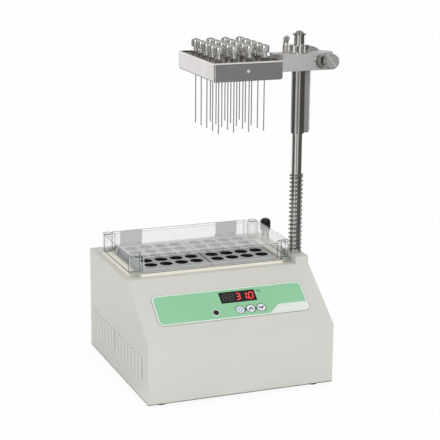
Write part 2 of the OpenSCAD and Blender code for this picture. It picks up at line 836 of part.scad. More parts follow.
// Tube of the given diameter and number of sides swept along a list of points
module tube_along(points, d, sides) {
    n = len(points);
    rings = [for (i = [0:n - 1]) let (
        a = points[max(i - 1, 0)], b = points[min(i + 1, n - 1)],
        t = (b - a) / norm(b - a),
        out = [points[i][0], points[i][1], 0] / norm([points[i][0], points[i][1]]),
        up0 = cross(t, out), up = up0 / norm(up0), side = cross(up, t)
    ) [for (j = [0:sides - 1]) points[i] + d / 2 * (cos(360 * j / sides) * side
        + sin(360 * j / sides) * up)]];
    verts = [for (ring = rings) each ring];
    walls = [for (i = [0:n - 2], j = [0:sides - 1]) let (
        a = i * sides + j, b = i * sides + (j + 1) % sides, c = a + sides, e = b + sides)
        each [[a, b, c], [b, e, c]]];
    cap0 = [for (j = [1:sides - 2]) [0, j + 1, j]];
    cap1 = [for (j = [1:sides - 2]) let (s = (n - 1) * sides) [s, s + j, s + j + 1]];
    polyhedron(verts, concat(walls, cap0, cap1), convexity = 20);
}

module buffer_spring() {
    echo(spring_self_gap = spring_self_gap);
    color([0.35, 0.34, 0.33])
    at_column() tube_along(spring_line, spring_wire, spring_sides);
}

module guide_sleeve() {
    color([0.36, 0.35, 0.34])
    at_column() difference() {
        translate([0, 0, sleeve_z]) cylinder(d = sleeve_d, h = sleeve_top - sleeve_z);
        translate([0, 0, sleeve_z - eps]) cylinder(d = rod_d + 2 * run,
            h = sleeve_top - sleeve_z + 2 * eps);
    }
}

// Flank of a rack tooth: half widths at tip and root for a 20 degree pressure angle
rack_pitch = PI * gear_m;
rack_tip_half = rack_pitch / 4 - gear_m * tan(20) - backlash / 2;
rack_root_half = rack_pitch / 4 + 1.25 * gear_m * tan(20) - backlash / 2;
rack_z = sleeve_z + 1.5;
// A gap of the rack lies level with the drive's axis, where the pinion has a tooth
rack_steps = floor((drive_z - rack_pitch / 2 - rack_z) / rack_pitch);
rack_phase = drive_z - rack_pitch / 2 - rack_pitch * rack_steps;
rack_teeth = 1 + floor((strip_top - 1 - rack_phase) / rack_pitch);

module rack_strip() {
    color([0.5, 0.5, 0.5])
    at_column() difference() {
        translate([0, strip_t / 2, 0]) rotate([90, 0, 0]) linear_extrude(strip_t) polygon(concat(
            [[0, sleeve_z], [strip_tip - 2.25 * gear_m, sleeve_z]],
            [for (i = [0:rack_teeth - 1]) let (z = rack_phase + i * rack_pitch) each [
                [strip_tip - 2.25 * gear_m, z - rack_root_half], [strip_tip, z - rack_tip_half],
                [strip_tip, z + rack_tip_half], [strip_tip - 2.25 * gear_m, z + rack_root_half]]],
            [[strip_tip - 2.25 * gear_m, strip_top], [0, strip_top]]
        ));
        translate([0, 0, sleeve_z - eps]) cylinder(d = sleeve_d, h = strip_top - sleeve_z + 2 * eps);
        translate([strip_tip - 4.4, 0, sleeve_z + 2.2]) rotate([90, 0, 0])
            cylinder(d = 1.8, h = 2 * strip_t, center = true);
    }
}

module column_nut() {
    color([0.78, 0.78, 0.77])
    at_column() difference() {
        translate([0, 0, nut_z]) {
            cylinder(d = nut_d - 1, h = nut_h);
            translate([0, 0, 0.8]) knurled_disc(nut_d, nut_h - 1.6, 24, 0.5);
        }
        translate([0, 0, nut_z - eps]) cylinder(d = sleeve_d + 2 * run, h = sleeve_top - nut_z + eps);
        translate([0, 0, nut_z]) cylinder(d = rod_d + 2 * run, h = nut_h + eps);
    }
}

// ---------- arm and drive ----------

// Plan of the arm from its end plate to the round end, drawn inwards by t
module arm_plan(t) {
    left = head_right - column_cx;
    end = clamp_x - arm_end_in;
    translate([left + t, -arm_w / 2 + t]) square([end - left - t, arm_w - 2 * t]);
    translate([end, 0]) circle(d = arm_w - 2 * t);
}

module arm() {
    hook_l = 7;
    hook_w = 9;
    guide_h = 14;
    left = head_right - column_cx;
    color([0.67, 0.66, 0.65])
    at_column() difference() {
        union() {
            difference() {
                translate([0, 0, arm_z]) linear_extrude(arm_h) arm_plan(0);
                translate([0, 0, arm_z - eps]) linear_extrude(arm_h - arm_t + eps) arm_plan(arm_t);
            }
            translate([0, 0, arm_top - arm_t - guide_h]) cylinder(d = arm_w - 2 * arm_t,
                h = guide_h + arm_t);
            translate([left - hook_l, arm_w / 2 - hook_w, head_z + head_h + 0.2])
                cube([hook_l + arm_t, hook_w, arm_top - head_z - head_h - 0.2]);
        }
        translate([left - hook_l - eps, arm_w / 2 - hook_w - eps, head_z + head_h])
            cube([hook_l + eps, hook_w - arm_t + eps, arm_top - arm_t - head_z - head_h]);
        translate([0, 0, arm_z]) cylinder(d = sleeve_d + 2 * run, h = arm_h + eps);
        translate([0, -strip_t / 2 - 0.15, arm_z])
            cube([strip_tip + clear, strip_t + 0.3, arm_h + eps]);
        translate([pinion_x, -pinion_w / 2 - clear, drive_z]) rotate([-90, 0, 0])
            cylinder(r = pinion_r + gear_m + clear, h = pinion_w + 2 * clear);
        translate([pinion_x, -arm_w, drive_z]) rotate([-90, 0, 0])
            cylinder(d = shaft_d + 2 * run, h = 2 * arm_w);
        translate([clamp_x, -arm_w, drive_z]) rotate([-90, 0, 0])
            cylinder(d = clamp_shank_d + 2 * run, h = 2 * arm_w);
        translate([elbow_x - column_cx, elbow_y - column_cy, arm_top - 2 * arm_t])
            cylinder(d = elbow_d, h = 4 * arm_t);
        translate([left - eps, elbow_y - column_cy, feed_z]) rotate([0, 90, 0])
            cylinder(d = elbow_d - 1, h = arm_t + 2 * eps);
    }
}

module pinion_bush() {
    t = 2.7;
    color([0.8, 0.8, 0.79])
    translate([column_cx + pinion_x, arm_front - t, drive_z]) rotate([-90, 0, 0]) difference() {
        union() {
            translate([0, 0, 0.6]) cylinder(d = bush_d, h = t - 0.6);
            cylinder(d1 = bush_d - 1.2, d2 = bush_d, h = 0.6);
        }
        translate([0, 0, -eps]) cylinder(d = bush_d - 4.6, h = 1 + eps);
        translate([0, 0, -eps]) cylinder(d = shaft_d + 2 * run, h = t + 2 * eps);
    }
}

// Points of one flank of an involute tooth, from the base circle to the tip
inv_base = pinion_r * cos(20);
inv_half = 90 / pinion_n - backlash / 2 / pinion_r * 180 / PI
    + (tan(20) * 180 / PI - 20);
function inv_at(r) = let (a = acos(min(inv_base / r, 1)), phi = tan(a) * 180 / PI - a)
    [r, inv_half - phi];
inv_steps = 5;
tip_r = pinion_r + gear_m;
root_r = pinion_r - 1.25 * gear_m;
flank = [for (k = [0:inv_steps]) inv_at(inv_base + (tip_r - inv_base) * k / inv_steps)];

module pinion_outline() {
    step = 360 / pinion_n;
    polygon([for (i = [0:pinion_n - 1]) each concat(
        [polar(root_r, 180 + i * step - inv_half)],
        [for (p = flank) polar(p[0], 180 + i * step - p[1])],
        [for (k = [0:inv_steps]) let (p = flank[inv_steps - k]) polar(p[0], 180 + i * step + p[1])],
        [polar(root_r, 180 + i * step + inv_half)]
    )]);
}

function polar(r, a) = [r * cos(a), r * sin(a)];

module pinion_shaft() {
    front = arm_front - 1.9;
    color([0.72, 0.72, 0.71])
    translate([column_cx + pinion_x, 0, drive_z]) {
        translate([0, column_cy + pinion_w / 2, 0]) rotate([90, 0, 0])
            linear_extrude(pinion_w) pinion_outline();
        y_bar(0, front, 0, arm_back + 8 - front, shaft_d);
    }
}

module hand_knob() {
    color([0.1, 0.1, 0.1])
    translate([column_cx + pinion_x, arm_back + knob_gap, drive_z]) rotate([-90, 0, 0]) difference() {
        union() {
            knurled_disc(hand_knob_d, hand_knob_t, 30, 0.6);
            translate([0, 0, hand_knob_t]) cylinder(d1 = hand_knob_d - 3, d2 = hand_knob_d - 6, h = 1);
        }
        translate([0, 0, -eps]) cylinder(d = shaft_d, h = 8 - knob_gap + eps);
    }
}

module clamp_screw() {
    slot_w = 1.8;
    front = arm_front - clamp_neck - clamp_t;
    color([0.62, 0.62, 0.61])
    translate([column_cx + clamp_x, front, drive_z]) rotate([-90, 0, 0]) difference() {
        union() {
            translate([0, 0, 0.8]) knurled_disc(clamp_d, clamp_t - 0.8, 36, 0.35);
            cylinder(d1 = clamp_d - 1.6, d2 = clamp_d - 0.7, h = 0.8);
            cylinder(d = clamp_shank_d, h = clamp_t + clamp_neck + arm_w + knob_gap - clear);
        }
        rotate([0, 0, 38]) translate([-slot_w / 2, -clamp_d, -eps])
            cube([slot_w, 2 * clamp_d, 1.8 + eps]);
    }
}

// Chrome elbow on the arm's top, with the feed tube that runs through the arm to the gas chamber
module gas_elbow() {
    bend_z = elbow_top - elbow_d / 2 - elbow_r;
    color([0.85, 0.85, 0.84])
    translate([elbow_x, elbow_y, 0]) {
        translate([0, 0, arm_z + 0.4]) cylinder(d = elbow_d + 0.4, h = arm_h - arm_t - 0.4);
        translate([0, 0, feed_z]) rotate([0, -90, 0])
            cylinder(d = elbow_d - 1, h = elbow_in + head_t + 5);
        translate([0, 0, arm_top - arm_t]) cylinder(d = elbow_d, h = bend_z - arm_top + arm_t);
        translate([0, 0, arm_top]) cylinder(d = elbow_d + elbow_foot, h = 2.2, $fn = 6);
        rotate([0, 0, elbow_turn]) translate([elbow_r, 0, bend_z]) {
            rotate([90, 0, 0]) rotate([0, 0, 90]) rotate_extrude(angle = 90)
                translate([elbow_r, 0]) circle(d = elbow_d);
            translate([0, 0, elbow_r]) rotate([0, 90, 0]) {
                cylinder(d = elbow_d, h = elbow_run);
                translate([0, 0, -0.5]) cylinder(d = elbow_d + 0.8, h = 1.5);
            }
        }
        translate([0, 0, bend_z - 1]) cylinder(d = elbow_d + 0.8, h = 1.5);
    }
}

// ---------- gas head ----------

module head_front_outline(t) {
    r = max(head_r - t, 0.5);
    w = head_w - 2 * t;
    translate([-w / 2, t + r]) square([w, head_h]);
    translate([-w / 2 + r, t]) square([w - 2 * r, head_h]);
    for (x = [-1, 1]) translate([x * (w / 2 - r), t + r]) circle(r);
}

module head_box() {
    color([0.55, 0.54, 0.53])
    translate([head_cx, bath_cy, head_z]) difference() {
        translate([0, head_d / 2, 0]) rotate([90, 0, 0]) linear_extrude(head_d)
            intersection() {
                head_front_outline(0);
                translate([-head_w, 0]) square([2 * head_w, head_h]);
            }
        translate([0, head_d / 2 - head_t, 0]) rotate([90, 0, 0])
            linear_extrude(head_d - 2 * head_t) head_front_outline(head_t);
        translate([-head_cx, -bath_cy, -eps]) each_well(head_cx) cylinder(d = 3, h = 2 * head_t + eps);
        translate([head_w / 2 - 2 * head_t, elbow_y - bath_cy, feed_z - head_z]) rotate([0, 90, 0])
            cylinder(d = elbow_d - 1, h = 4 * head_t);
    }
}

module gas_chamber() {
    w = head_w - 2 * head_t - 2 * clear;
    d = head_d - 2 * head_t - 2 * clear;
    r = head_r;
    color([0.2, 0.2, 0.2])
    difference() {
        translate([head_cx, bath_cy + d / 2, chamber_z]) rotate([90, 0, 0]) linear_extrude(d) {
            translate([-w / 2, r]) square([w, chamber_h - r]);
            translate([-w / 2 + r, 0]) square([w - 2 * r, chamber_h]);
        }
        translate([0, 0, chamber_z - eps]) each_well(head_cx)
            cylinder(d = needle_d + 2 * run, h = chamber_h + 2 * eps);
        translate([head_cx + w / 2 - 5, elbow_y, feed_z]) rotate([0, 90, 0])
            cylinder(d = elbow_d - 1, h = 10);
    }
}

module needle_hubs() {
    color([0.6, 0.6, 0.59])
    translate([0, 0, chamber_top]) each_well(head_cx) difference() {
        cylinder(d = hub_w / cos(30), h = hub_h, $fn = 6);
        translate([0, 0, 1.5]) cylinder(d = stem_d + 2 * run, h = hub_h);
        translate([0, 0, -eps]) cylinder(d = needle_d + 2 * run, h = hub_h);
    }
}

module needles() {
    color([0.62, 0.61, 0.6])
    translate([0, 0, needle_z]) each_well(head_cx)
        cylinder(d = needle_d, h = chamber_top - needle_z + 1);
}

// A knurled cap on its neck, with the stem that screws into its hub
module needle_cap(i, j) {
    neck_d = 6.2;
    chamfer = 0.9;
    color([0.7, 0.7, 0.69])
    translate([head_cx + (i - (well_cols - 1) / 2) * well_pitch,
               bath_cy + (j - (well_rows - 1) / 2) * well_pitch, hub_top]) {
        translate([0, 0, -hub_h + 2]) cylinder(d = stem_d, h = hub_h);
        translate([0, 0, 0.15]) cylinder(d = neck_d, h = neck_h);
        translate([0, 0, neck_h]) knurled_disc(cap_d, cap_h - chamfer, cap_grooves, 0.4);
        translate([0, 0, neck_h + cap_h - chamfer])
            cylinder(d1 = cap_d - 0.8, d2 = cap_d - 0.8 - 2 * chamfer, h = chamfer);
    }
}

// ---------- nodes ----------

housing();
bottom_plate();
rear_panel();
feet();
control_label();
display_window();
signal_lamp();
push_button(-1);  // button_menu
push_button(0);  // button_up
push_button(1);  // button_down
tray_frame();
block_pan();
heater_plate();
block_left();
block_right();
power_module();
mains_rocker();
gas_valve();
gas_knob();
gas_inlet();
hinge_base();
lid_shell();
lid_posts();
lid_hinge_plates();
column_rod();
stop_ring();
buffer_spring();
guide_sleeve();
rack_strip();
column_nut();
arm();
pinion_bush();
gas_elbow();
head_box();
gas_chamber();
needle_hubs();
needles();
pinion_shaft();
hand_knob();
clamp_screw();
for (j = [0:well_rows - 1], i = [0:well_cols - 1])
    needle_cap(i, j);
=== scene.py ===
"""Dressed model of a nitrogen sample evaporator.

A cream instrument housing holds two drilled heating blocks under a hinged clear lid. A head of
gas needles hangs from an arm on a spring-buffered column, and a rack and pinion sets its height.
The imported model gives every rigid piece. This script gives each its finish and adds the trim.
"""

import logging
import math
from dataclasses import dataclass, field
from enum import Enum
from typing import Callable, Iterable, Optional, Sequence

import bpy
from mathutils import Matrix, Vector

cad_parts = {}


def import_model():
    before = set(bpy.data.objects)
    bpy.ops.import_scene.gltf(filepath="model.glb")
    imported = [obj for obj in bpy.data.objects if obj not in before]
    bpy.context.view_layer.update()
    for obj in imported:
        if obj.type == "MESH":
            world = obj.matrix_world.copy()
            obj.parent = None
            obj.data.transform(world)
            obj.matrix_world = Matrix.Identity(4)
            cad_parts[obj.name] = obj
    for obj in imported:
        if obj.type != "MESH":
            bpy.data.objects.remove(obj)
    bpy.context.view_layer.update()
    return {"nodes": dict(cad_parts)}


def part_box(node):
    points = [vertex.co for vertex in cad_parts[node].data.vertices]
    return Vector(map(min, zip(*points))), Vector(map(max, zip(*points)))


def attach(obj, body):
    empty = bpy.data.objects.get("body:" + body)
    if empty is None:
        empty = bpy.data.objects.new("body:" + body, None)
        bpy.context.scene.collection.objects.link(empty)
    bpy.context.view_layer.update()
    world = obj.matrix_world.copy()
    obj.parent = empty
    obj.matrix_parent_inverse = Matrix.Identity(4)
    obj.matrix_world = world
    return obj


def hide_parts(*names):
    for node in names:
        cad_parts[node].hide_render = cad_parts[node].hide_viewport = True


LOG = logging.getLogger("evaporator")
MM = 0.001

Colour = tuple[float, float, float]
Shade = tuple[float, float, float, float]
Point = tuple[float, float, float]
Spot = tuple[float, float]
Shell = tuple[list[Point], list[list[int]]]


def linear(colour: Colour) -> Shade:
    """Turn a display colour into the linear one that a shader takes.

    Args:
        colour: Red, green and blue from 0 to 255.

    Returns:
        Linear red, green, blue and an alpha of 1.
    """

    def one(value: float) -> float:
        """Turn one channel by the standard display curve."""
        share = value / 255.0
        return share / 12.92 if share <= 0.04045 else ((share + 0.055) / 1.055) ** 2.4

    return (one(colour[0]), one(colour[1]), one(colour[2]), 1.0)


def grey(value: float) -> Shade:
    """Return an opaque linear grey."""
    return (value, value, value, 1.0)


def linked(name: str, data: bpy.types.ID, body: Optional[str] = None) -> bpy.types.Object:
    """Make an object of its data and link it to the scene.

    Args:
        name: The object's name.
        data: Its mesh, curve, lamp or camera.
        body: The body that it moves with, where it is a finished piece.

    Returns:
        The new object.
    """
    made = bpy.data.objects.new(name, data)
    bpy.context.scene.collection.objects.link(made)
    if body is not None:
        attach(made, body)
    return made


# ---------------------------------------------------------------- node trees


class NodeTree:
    """A node tree under construction."""

    def __init__(self, tree: bpy.types.NodeTree) -> None:
        """Take a tree of any kind."""
        self.tree = tree

    def link(self, source: bpy.types.NodeSocket, target: bpy.types.NodeSocket) -> None:
        """Lead an output into an input."""
        self.tree.links.new(source, target)

    def node(self, kind: str, inputs: Optional[dict[str, object]] = None,
             **settings: object) -> bpy.types.Node:
        """Add a node, set its options and feed its inputs.

        Args:
            kind: The node's type name.
            inputs: Input names or numbers, each with a socket to link or a value to set.
            **settings: Attributes of the node itself.

        Returns:
            The new node.
        """
        made = self.tree.nodes.new(kind)
        for key, value in settings.items():
            setattr(made, key, value)
        for key, value in (inputs or {}).items():
            target = made.inputs[int(key)] if key.isdigit() else made.inputs[key]
            if isinstance(value, bpy.types.NodeSocket):
                self.link(value, target)
            else:
                target.default_value = value
        return made

    def maths(self, operation: str, *values: object,
              use_clamp: bool = False) -> bpy.types.NodeSocket:
        """Work out one number.

        Args:
            operation: The Math node's operation.
            *values: What goes in, each a socket or a number.
            use_clamp: Whether the result is kept between 0 and 1.

        Returns:
            The socket with the result.
        """
        return self.node("ShaderNodeMath", {str(k): v for k, v in enumerate(values)},
                         operation=operation, use_clamp=use_clamp).outputs["Value"]

    def noise(self, place: bpy.types.NodeSocket, grain: float,
              detail: float) -> bpy.types.NodeSocket:
        """Add a noise.

        Args:
            place: The coordinates that it reads.
            grain: The size of its spots in metres.
            detail: Its levels of finer spots.

        Returns:
            The socket with its grey.
        """
        return self.node("ShaderNodeTexNoise", {
            "Scale": 1.0 / grain, "Detail": detail, "Vector": place}).outputs["Fac"]

    def ramp(self, share: bpy.types.NodeSocket, stops: Sequence[tuple[float, Shade]],
             interpolation: str = "LINEAR") -> bpy.types.NodeSocket:
        """Add a colour ramp.

        Args:
            share: What runs along the ramp.
            stops: Places along it in rising order, each with a colour.
            interpolation: How one stop passes into the next.

        Returns:
            The socket with the colour.
        """
        made = self.node("ShaderNodeValToRGB", {"Fac": share})
        made.color_ramp.interpolation = interpolation
        elements = made.color_ramp.elements
        for end in (0, -1):
            elements[end].position, elements[end].color = stops[end]
        for position, colour in stops[1:-1]:
            elements.new(position).color = colour
        return made.outputs["Color"]

    def spread_out(self, value: bpy.types.NodeSocket, low: float, high: float,
                   start: float = 0.0, end: float = 1.0) -> bpy.types.NodeSocket:
        """Stretch a number from one span to another.

        Args:
            value: The number.
            low: What it becomes at the start of its span.
            high: What it becomes at the end.
            start: Start of its span.
            end: End of its span.

        Returns:
            The socket with the result.
        """
        return self.node("ShaderNodeMapRange", {
            "Value": value, "From Min": start, "From Max": end, "To Min": low,
            "To Max": high}).outputs["Result"]

    def mixed_colour(self, share: bpy.types.NodeSocket, first: object,
                     second: object) -> bpy.types.NodeSocket:
        """Mix two colours, each a socket or a plain colour."""
        return self.node("ShaderNodeMix", {"Factor": share, "6": first, "7": second},
                         data_type="RGBA").outputs[2]

    def mixed_shader(self, share: bpy.types.NodeSocket, first: bpy.types.NodeSocket,
                     second: bpy.types.NodeSocket) -> bpy.types.NodeSocket:
        """Mix two shaders."""
        return self.node("ShaderNodeMixShader", {
            "Fac": share, "1": first, "2": second}).outputs["Shader"]


# ---------------------------------------------------------------- finishes


class Grain(Enum):
    """The way the fine grain of a surface runs, as its stretch along X, Y and Z."""

    EVEN = (1.0, 1.0, 1.0)
    ALONG_X = (0.03, 1.0, 1.0)
    ALONG_Z = (1.0, 1.0, 0.03)
    TURNED_Z = (0.04, 0.04, 1.0)
    TURNED_Y = (0.04, 1.0, 0.04)


MOTTLE_DETAIL = 3.0
MOTTLE_STOPS = (0.35, 0.65)
GRAIN_DETAIL = 4.0
BUMP_SHARE = 0.5
SOFTEN_SAMPLES = 4
COAT_ROUGHNESS = 0.15


@dataclass(frozen=True)
class Surface:
    """The name and colour of one material, built when it is first asked for."""

    name: str
    colour: Colour

    def material(self) -> bpy.types.Material:
        """Return this surface's material."""
        made = bpy.data.materials.get(self.name)
        if made is None:
            made = bpy.data.materials.new(self.name)
            made.use_nodes = True
            tree = NodeTree(made.node_tree)
            place = tree.node("ShaderNodeTexCoord").outputs["Object"]
            made.diffuse_color = self.shade(tree, made.node_tree.nodes["Principled BSDF"], place)
        return made

    def shade(self, tree: NodeTree, shader: bpy.types.Node,
              place: bpy.types.NodeSocket) -> Shade:
        """Build the nodes round the shader.

        Args:
            tree: The material's tree.
            shader: Its Principled shader.
            place: The object's own coordinates.

        Returns:
            The plain colour that stands for the surface without its nodes.
        """
        raise NotImplementedError


@dataclass(frozen=True)
class Finish(Surface):
    """A closed surface, with its gloss, grain and mottle."""

    roughness: float = 0.5
    metallic: float = 0.0
    grain: Grain = Grain.EVEN
    grain_size: float = 0.8 * MM
    grain_depth: float = 0.04
    rough_spread: float = 0.06
    mottle: float = 0.03
    mottle_size: float = 25 * MM
    coat: float = 0.0
    specular: float = 0.5
    glow: float = 0.0
    soften: float = 0.25 * MM

    def shade(self, tree: NodeTree, shader: bpy.types.Node,
              place: bpy.types.NodeSocket) -> Shade:
        """Build the mottle, the grain and the softened edges.

        Args:
            tree: The material's tree.
            shader: Its Principled shader.
            place: The object's own coordinates.

        Returns:
            The surface's plain colour.
        """
        base = linear(self.colour)
        tones = [(*(min(1.0, c * (1.0 + change)) for c in base[:3]), 1.0)
                 for change in (-self.mottle, self.mottle)]
        mottle = tree.noise(place, self.mottle_size, MOTTLE_DETAIL)
        tree.link(tree.ramp(mottle, list(zip(MOTTLE_STOPS, tones))), shader.inputs["Base Color"])

        stretched = tree.node("ShaderNodeMapping", {"Vector": place, "Scale": self.grain.value})
        grain = tree.noise(stretched.outputs["Vector"], self.grain_size, GRAIN_DETAIL)
        tree.link(tree.spread_out(grain, max(0.0, self.roughness - self.rough_spread),
                                  min(1.0, self.roughness + self.rough_spread)),
                  shader.inputs["Roughness"])

        bump = tree.node("ShaderNodeBump", {
            "Strength": self.grain_depth, "Distance": self.grain_size * BUMP_SHARE,
            "Height": grain})
        if self.soften > 0.0:
            edge = tree.node("ShaderNodeBevel", {"Radius": self.soften}, samples=SOFTEN_SAMPLES)
            tree.link(edge.outputs["Normal"], bump.inputs["Normal"])
        tree.link(bump.outputs["Normal"], shader.inputs["Normal"])

        for socket, value in (("Metallic", self.metallic), ("Specular IOR Level", self.specular),
                              ("Coat Weight", self.coat), ("Coat Roughness", COAT_ROUGHNESS)):
            shader.inputs[socket].default_value = value
        if self.glow > 0.0:
            shader.inputs["Emission Color"].default_value = base
            shader.inputs["Emission Strength"].default_value = self.glow
        return base


@dataclass(frozen=True)
class Ink(Finish):
    """The finish of a print, a line, a fine piece, or a painted shade or highlight, whose edges
    aren't softened.
    """

    soften: float = 0.0


@dataclass(frozen=True)
class TurnedMetal(Finish):
    """Bare metal turned about an upright axis."""

    metallic: float = 1.0
    grain: Grain = Grain.TURNED_Z


STREAK_SIZE = 25 * MM
STREAK_TONE = 0.96
RIM_BLEND = 0.35
PLASTIC_IOR = 1.49
PLAIN_ALPHA = 0.4


@dataclass(frozen=True)
class ClearFinish(Surface):
    """Clear moulded plastic, less clear where it lies flat and clearer where it stands; the pale
    cover on flat faces is painted reflection of the bright surroundings.
    """

    # Opacity of the pale colour on flat and upright faces; the extra on flat faces is painted
    # reflection.
    haze_flat: float
    haze_upright: float
    roughness: float = 0.06
    rim: float = 0.0

    def shade(self, tree: NodeTree, shader: bpy.types.Node,
              place: bpy.types.NodeSocket) -> Shade:
        """Build the faint streaks and the opacity, with painted reflection on flat faces and more
        opacity where the sight grazes.

        Args:
            tree: The material's tree.
            shader: Its Principled shader.
            place: The object's own coordinates.

        Returns:
            The plastic's colour, half clear.
        """
        base = linear(self.colour)
        streaks = tree.noise(place, STREAK_SIZE, MOTTLE_DETAIL)
        darker = (*(c * STREAK_TONE for c in base[:3]), 1.0)
        tree.link(tree.ramp(streaks, [(0.0, darker), (1.0, base)]), shader.inputs["Base Color"])

        # Painted reflection: flat faces take more of the pale colour than upright ones.
        facing = tree.node("ShaderNodeNewGeometry").outputs["True Normal"]
        parts = tree.node("ShaderNodeSeparateXYZ", {"Vector": facing})
        upness = tree.maths("ABSOLUTE", parts.outputs["Z"])
        opacity = tree.spread_out(upness, self.haze_upright, self.haze_flat)
        graze = tree.node("ShaderNodeLayerWeight", {"Blend": RIM_BLEND}).outputs["Facing"]
        tree.link(tree.maths("MULTIPLY_ADD", graze, self.rim, opacity, use_clamp=True),
                  shader.inputs["Alpha"])

        shader.inputs["Roughness"].default_value = self.roughness
        shader.inputs["IOR"].default_value = PLASTIC_IOR
        return (*base[:3], PLAIN_ALPHA)


POWDER_COAT = Finish("PowderCoat", (210, 209, 203), specular=0.25, grain_size=0.5 * MM,
                     grain_depth=0.05, mottle=0.008, mottle_size=60 * MM, soften=0.5 * MM)
CREAM = Finish("CreamFrame", (246, 242, 229), mottle=0.01, soften=0.4 * MM)
# Painted shade: a dark ring under the housing's lower edge, for the shade in the gap between
# housing and bottom plate.
BASE_GAP_SHADE = Finish("DarkEdge", (120, 116, 104), roughness=0.7, mottle=0.05)
SHEET_METAL = Finish("SheetMetal", (168, 168, 166), roughness=0.42, metallic=0.9,
                     grain=Grain.ALONG_X, grain_size=0.6 * MM, mottle=0.05)
PAN_METAL = Finish("PanMetal", (186, 186, 184), metallic=0.3, grain=Grain.ALONG_X,
                   grain_size=0.7 * MM, mottle=0.05)
BLOCK_METAL = Finish("BlockAluminium", (200, 201, 203), metallic=0.2, grain=Grain.ALONG_X,
                     grain_size=0.5 * MM, grain_depth=0.08, mottle=0.04)
# Painted shade: a fine dark ring along each block's top edges, for the shade in the gaps round
# the blocks.
BLOCK_GAP_SHADE = Ink("BlockLine", (104, 106, 108), metallic=0.2)
# Painted shade: near-black cups in the wells, for the shade deep in the bores.
WELL_SHADE = Ink("WellDark", (10, 10, 11), roughness=0.9, specular=0.0, mottle=0.1)
LABEL_GREEN = Ink("LabelGreen", (146, 204, 161), roughness=0.45, mottle=0.02,
                  mottle_size=45 * MM)
LABEL_WHITE = Ink("LabelWhite", (226, 233, 226), roughness=0.45, mottle=0.01)
LABEL_DARK = Ink("LabelDark", (30, 36, 38))
LABEL_LINE = Ink("LabelLine", (150, 154, 147))
# Painted shade: darker strips in front of the side louvres, for the shade in their openings.
LOUVRE_PAINTED_SHADE = Ink("LouvreShade", (178, 175, 168), roughness=0.7, mottle=0.02)
LEGEND_BLUE = Ink("LegendBlue", (120, 158, 196))
DISPLAY_GLASS = Finish("DisplayGlass", (44, 40, 42), roughness=0.2, mottle=0.05, specular=0.2,
                       soften=0.2 * MM)
DIGIT_LIT = Ink("DigitLit", (255, 70, 60), roughness=0.4, glow=0.9)
DIGIT_DIM = Ink("DigitDim", (82, 80, 82), roughness=0.4)
BUTTON_WHITE = Finish("ButtonWhite", (226, 232, 236), roughness=0.35, mottle=0.01, coat=0.3)
BLACK_PLASTIC = Finish("BlackPlastic", (26, 26, 27), roughness=0.38, grain_depth=0.08,
                       mottle=0.15, coat=0.2)
KNOB_BLACK = Finish("KnobBlack", (20, 20, 21), roughness=0.28, mottle=0.1, coat=0.5)
RUBBER = Finish("FootRubber", (30, 30, 30), roughness=0.8, grain_depth=0.15, mottle=0.15)
BRASS = Finish("BarbBrass", (196, 166, 96), roughness=0.28, metallic=1.0, grain=Grain.TURNED_Y,
               mottle=0.06)
CHROME = TurnedMetal("Chrome", (232, 231, 228), roughness=0.1, grain_depth=0.02,
                     rough_spread=0.04)
ROD_STEEL = TurnedMetal("RodSteel", (214, 211, 206), roughness=0.14, grain_size=0.4 * MM,
                        mottle=0.06)
SLEEVE_STEEL = TurnedMetal("SleeveSteel", (178, 175, 171), roughness=0.18, grain_size=0.4 * MM,
                           mottle=0.07)
SPRING_STEEL = TurnedMetal("SpringSteel", (164, 161, 157), roughness=0.14, mottle=0.12,
                           soften=0.0)
RACK_STEEL = Finish("RackSteel", (184, 183, 181), roughness=0.4, metallic=0.7,
                    grain=Grain.ALONG_Z, mottle=0.05, soften=0.1 * MM)
ARM_STEEL = Finish("ArmSteel", (206, 204, 202), roughness=0.38, metallic=0.5,
                   grain=Grain.ALONG_X, grain_size=0.5 * MM, mottle=0.04, soften=0.5 * MM)
HEAD_STEEL = Finish("HeadSteel", (224, 221, 219), roughness=0.2, metallic=0.92,
                    grain=Grain.ALONG_X, grain_size=0.5 * MM, mottle=0.04, soften=0.4 * MM)
CHAMBER_STEEL = Finish("ChamberSteel", (214, 213, 211), roughness=0.2, metallic=0.95,
                       mottle=0.04)
# Bright steel: the head screw's own finish, and painted highlight on the head's upper rim, its
# folded corner and the clamp screw's slot floor.
BRIGHT_STEEL_AND_HIGHLIGHT = Ink("BrightEdge", (232, 230, 226), roughness=0.35, metallic=0.25)
SEAM_DARK = Ink("SeamDark", (70, 69, 68), metallic=0.3)
HINGE_STEEL = Finish("HingeSteel", (208, 206, 203), roughness=0.45, metallic=0.25,
                     grain=Grain.ALONG_X)
CAP_STEEL = TurnedMetal("CapSteel", (226, 224, 221), roughness=0.16, metallic=0.9, mottle=0.05,
                        soften=0.0)
CLAMP_FACE = Ink("ClampFace", (184, 182, 179), roughness=0.34, metallic=0.55,
                 grain=Grain.ALONG_X, grain_size=0.5 * MM, mottle=0.05)
TURNED_STEEL = TurnedMetal("TurnedSteel", (216, 214, 211), roughness=0.2, mottle=0.06,
                           soften=0.12 * MM)
NEEDLE_STEEL = Ink("NeedleSteel", (176, 175, 173), roughness=0.3, metallic=0.8,
                   grain=Grain.ALONG_Z, mottle=0.05)
SCREW_STEEL = Finish("ScrewSteel", (190, 190, 188), roughness=0.3, metallic=0.95, mottle=0.05)
# Painted reflection: flat faces of the lid and posts are made pale and less clear, for the bright
# surroundings mirrored in them.
CLEAR_LID = ClearFinish("ClearLid", (244, 246, 243), haze_flat=0.32, haze_upright=0.006)
CLEAR_POST = ClearFinish("ClearPost", (206, 212, 209), haze_flat=0.35, haze_upright=0.08,
                         rim=0.5)
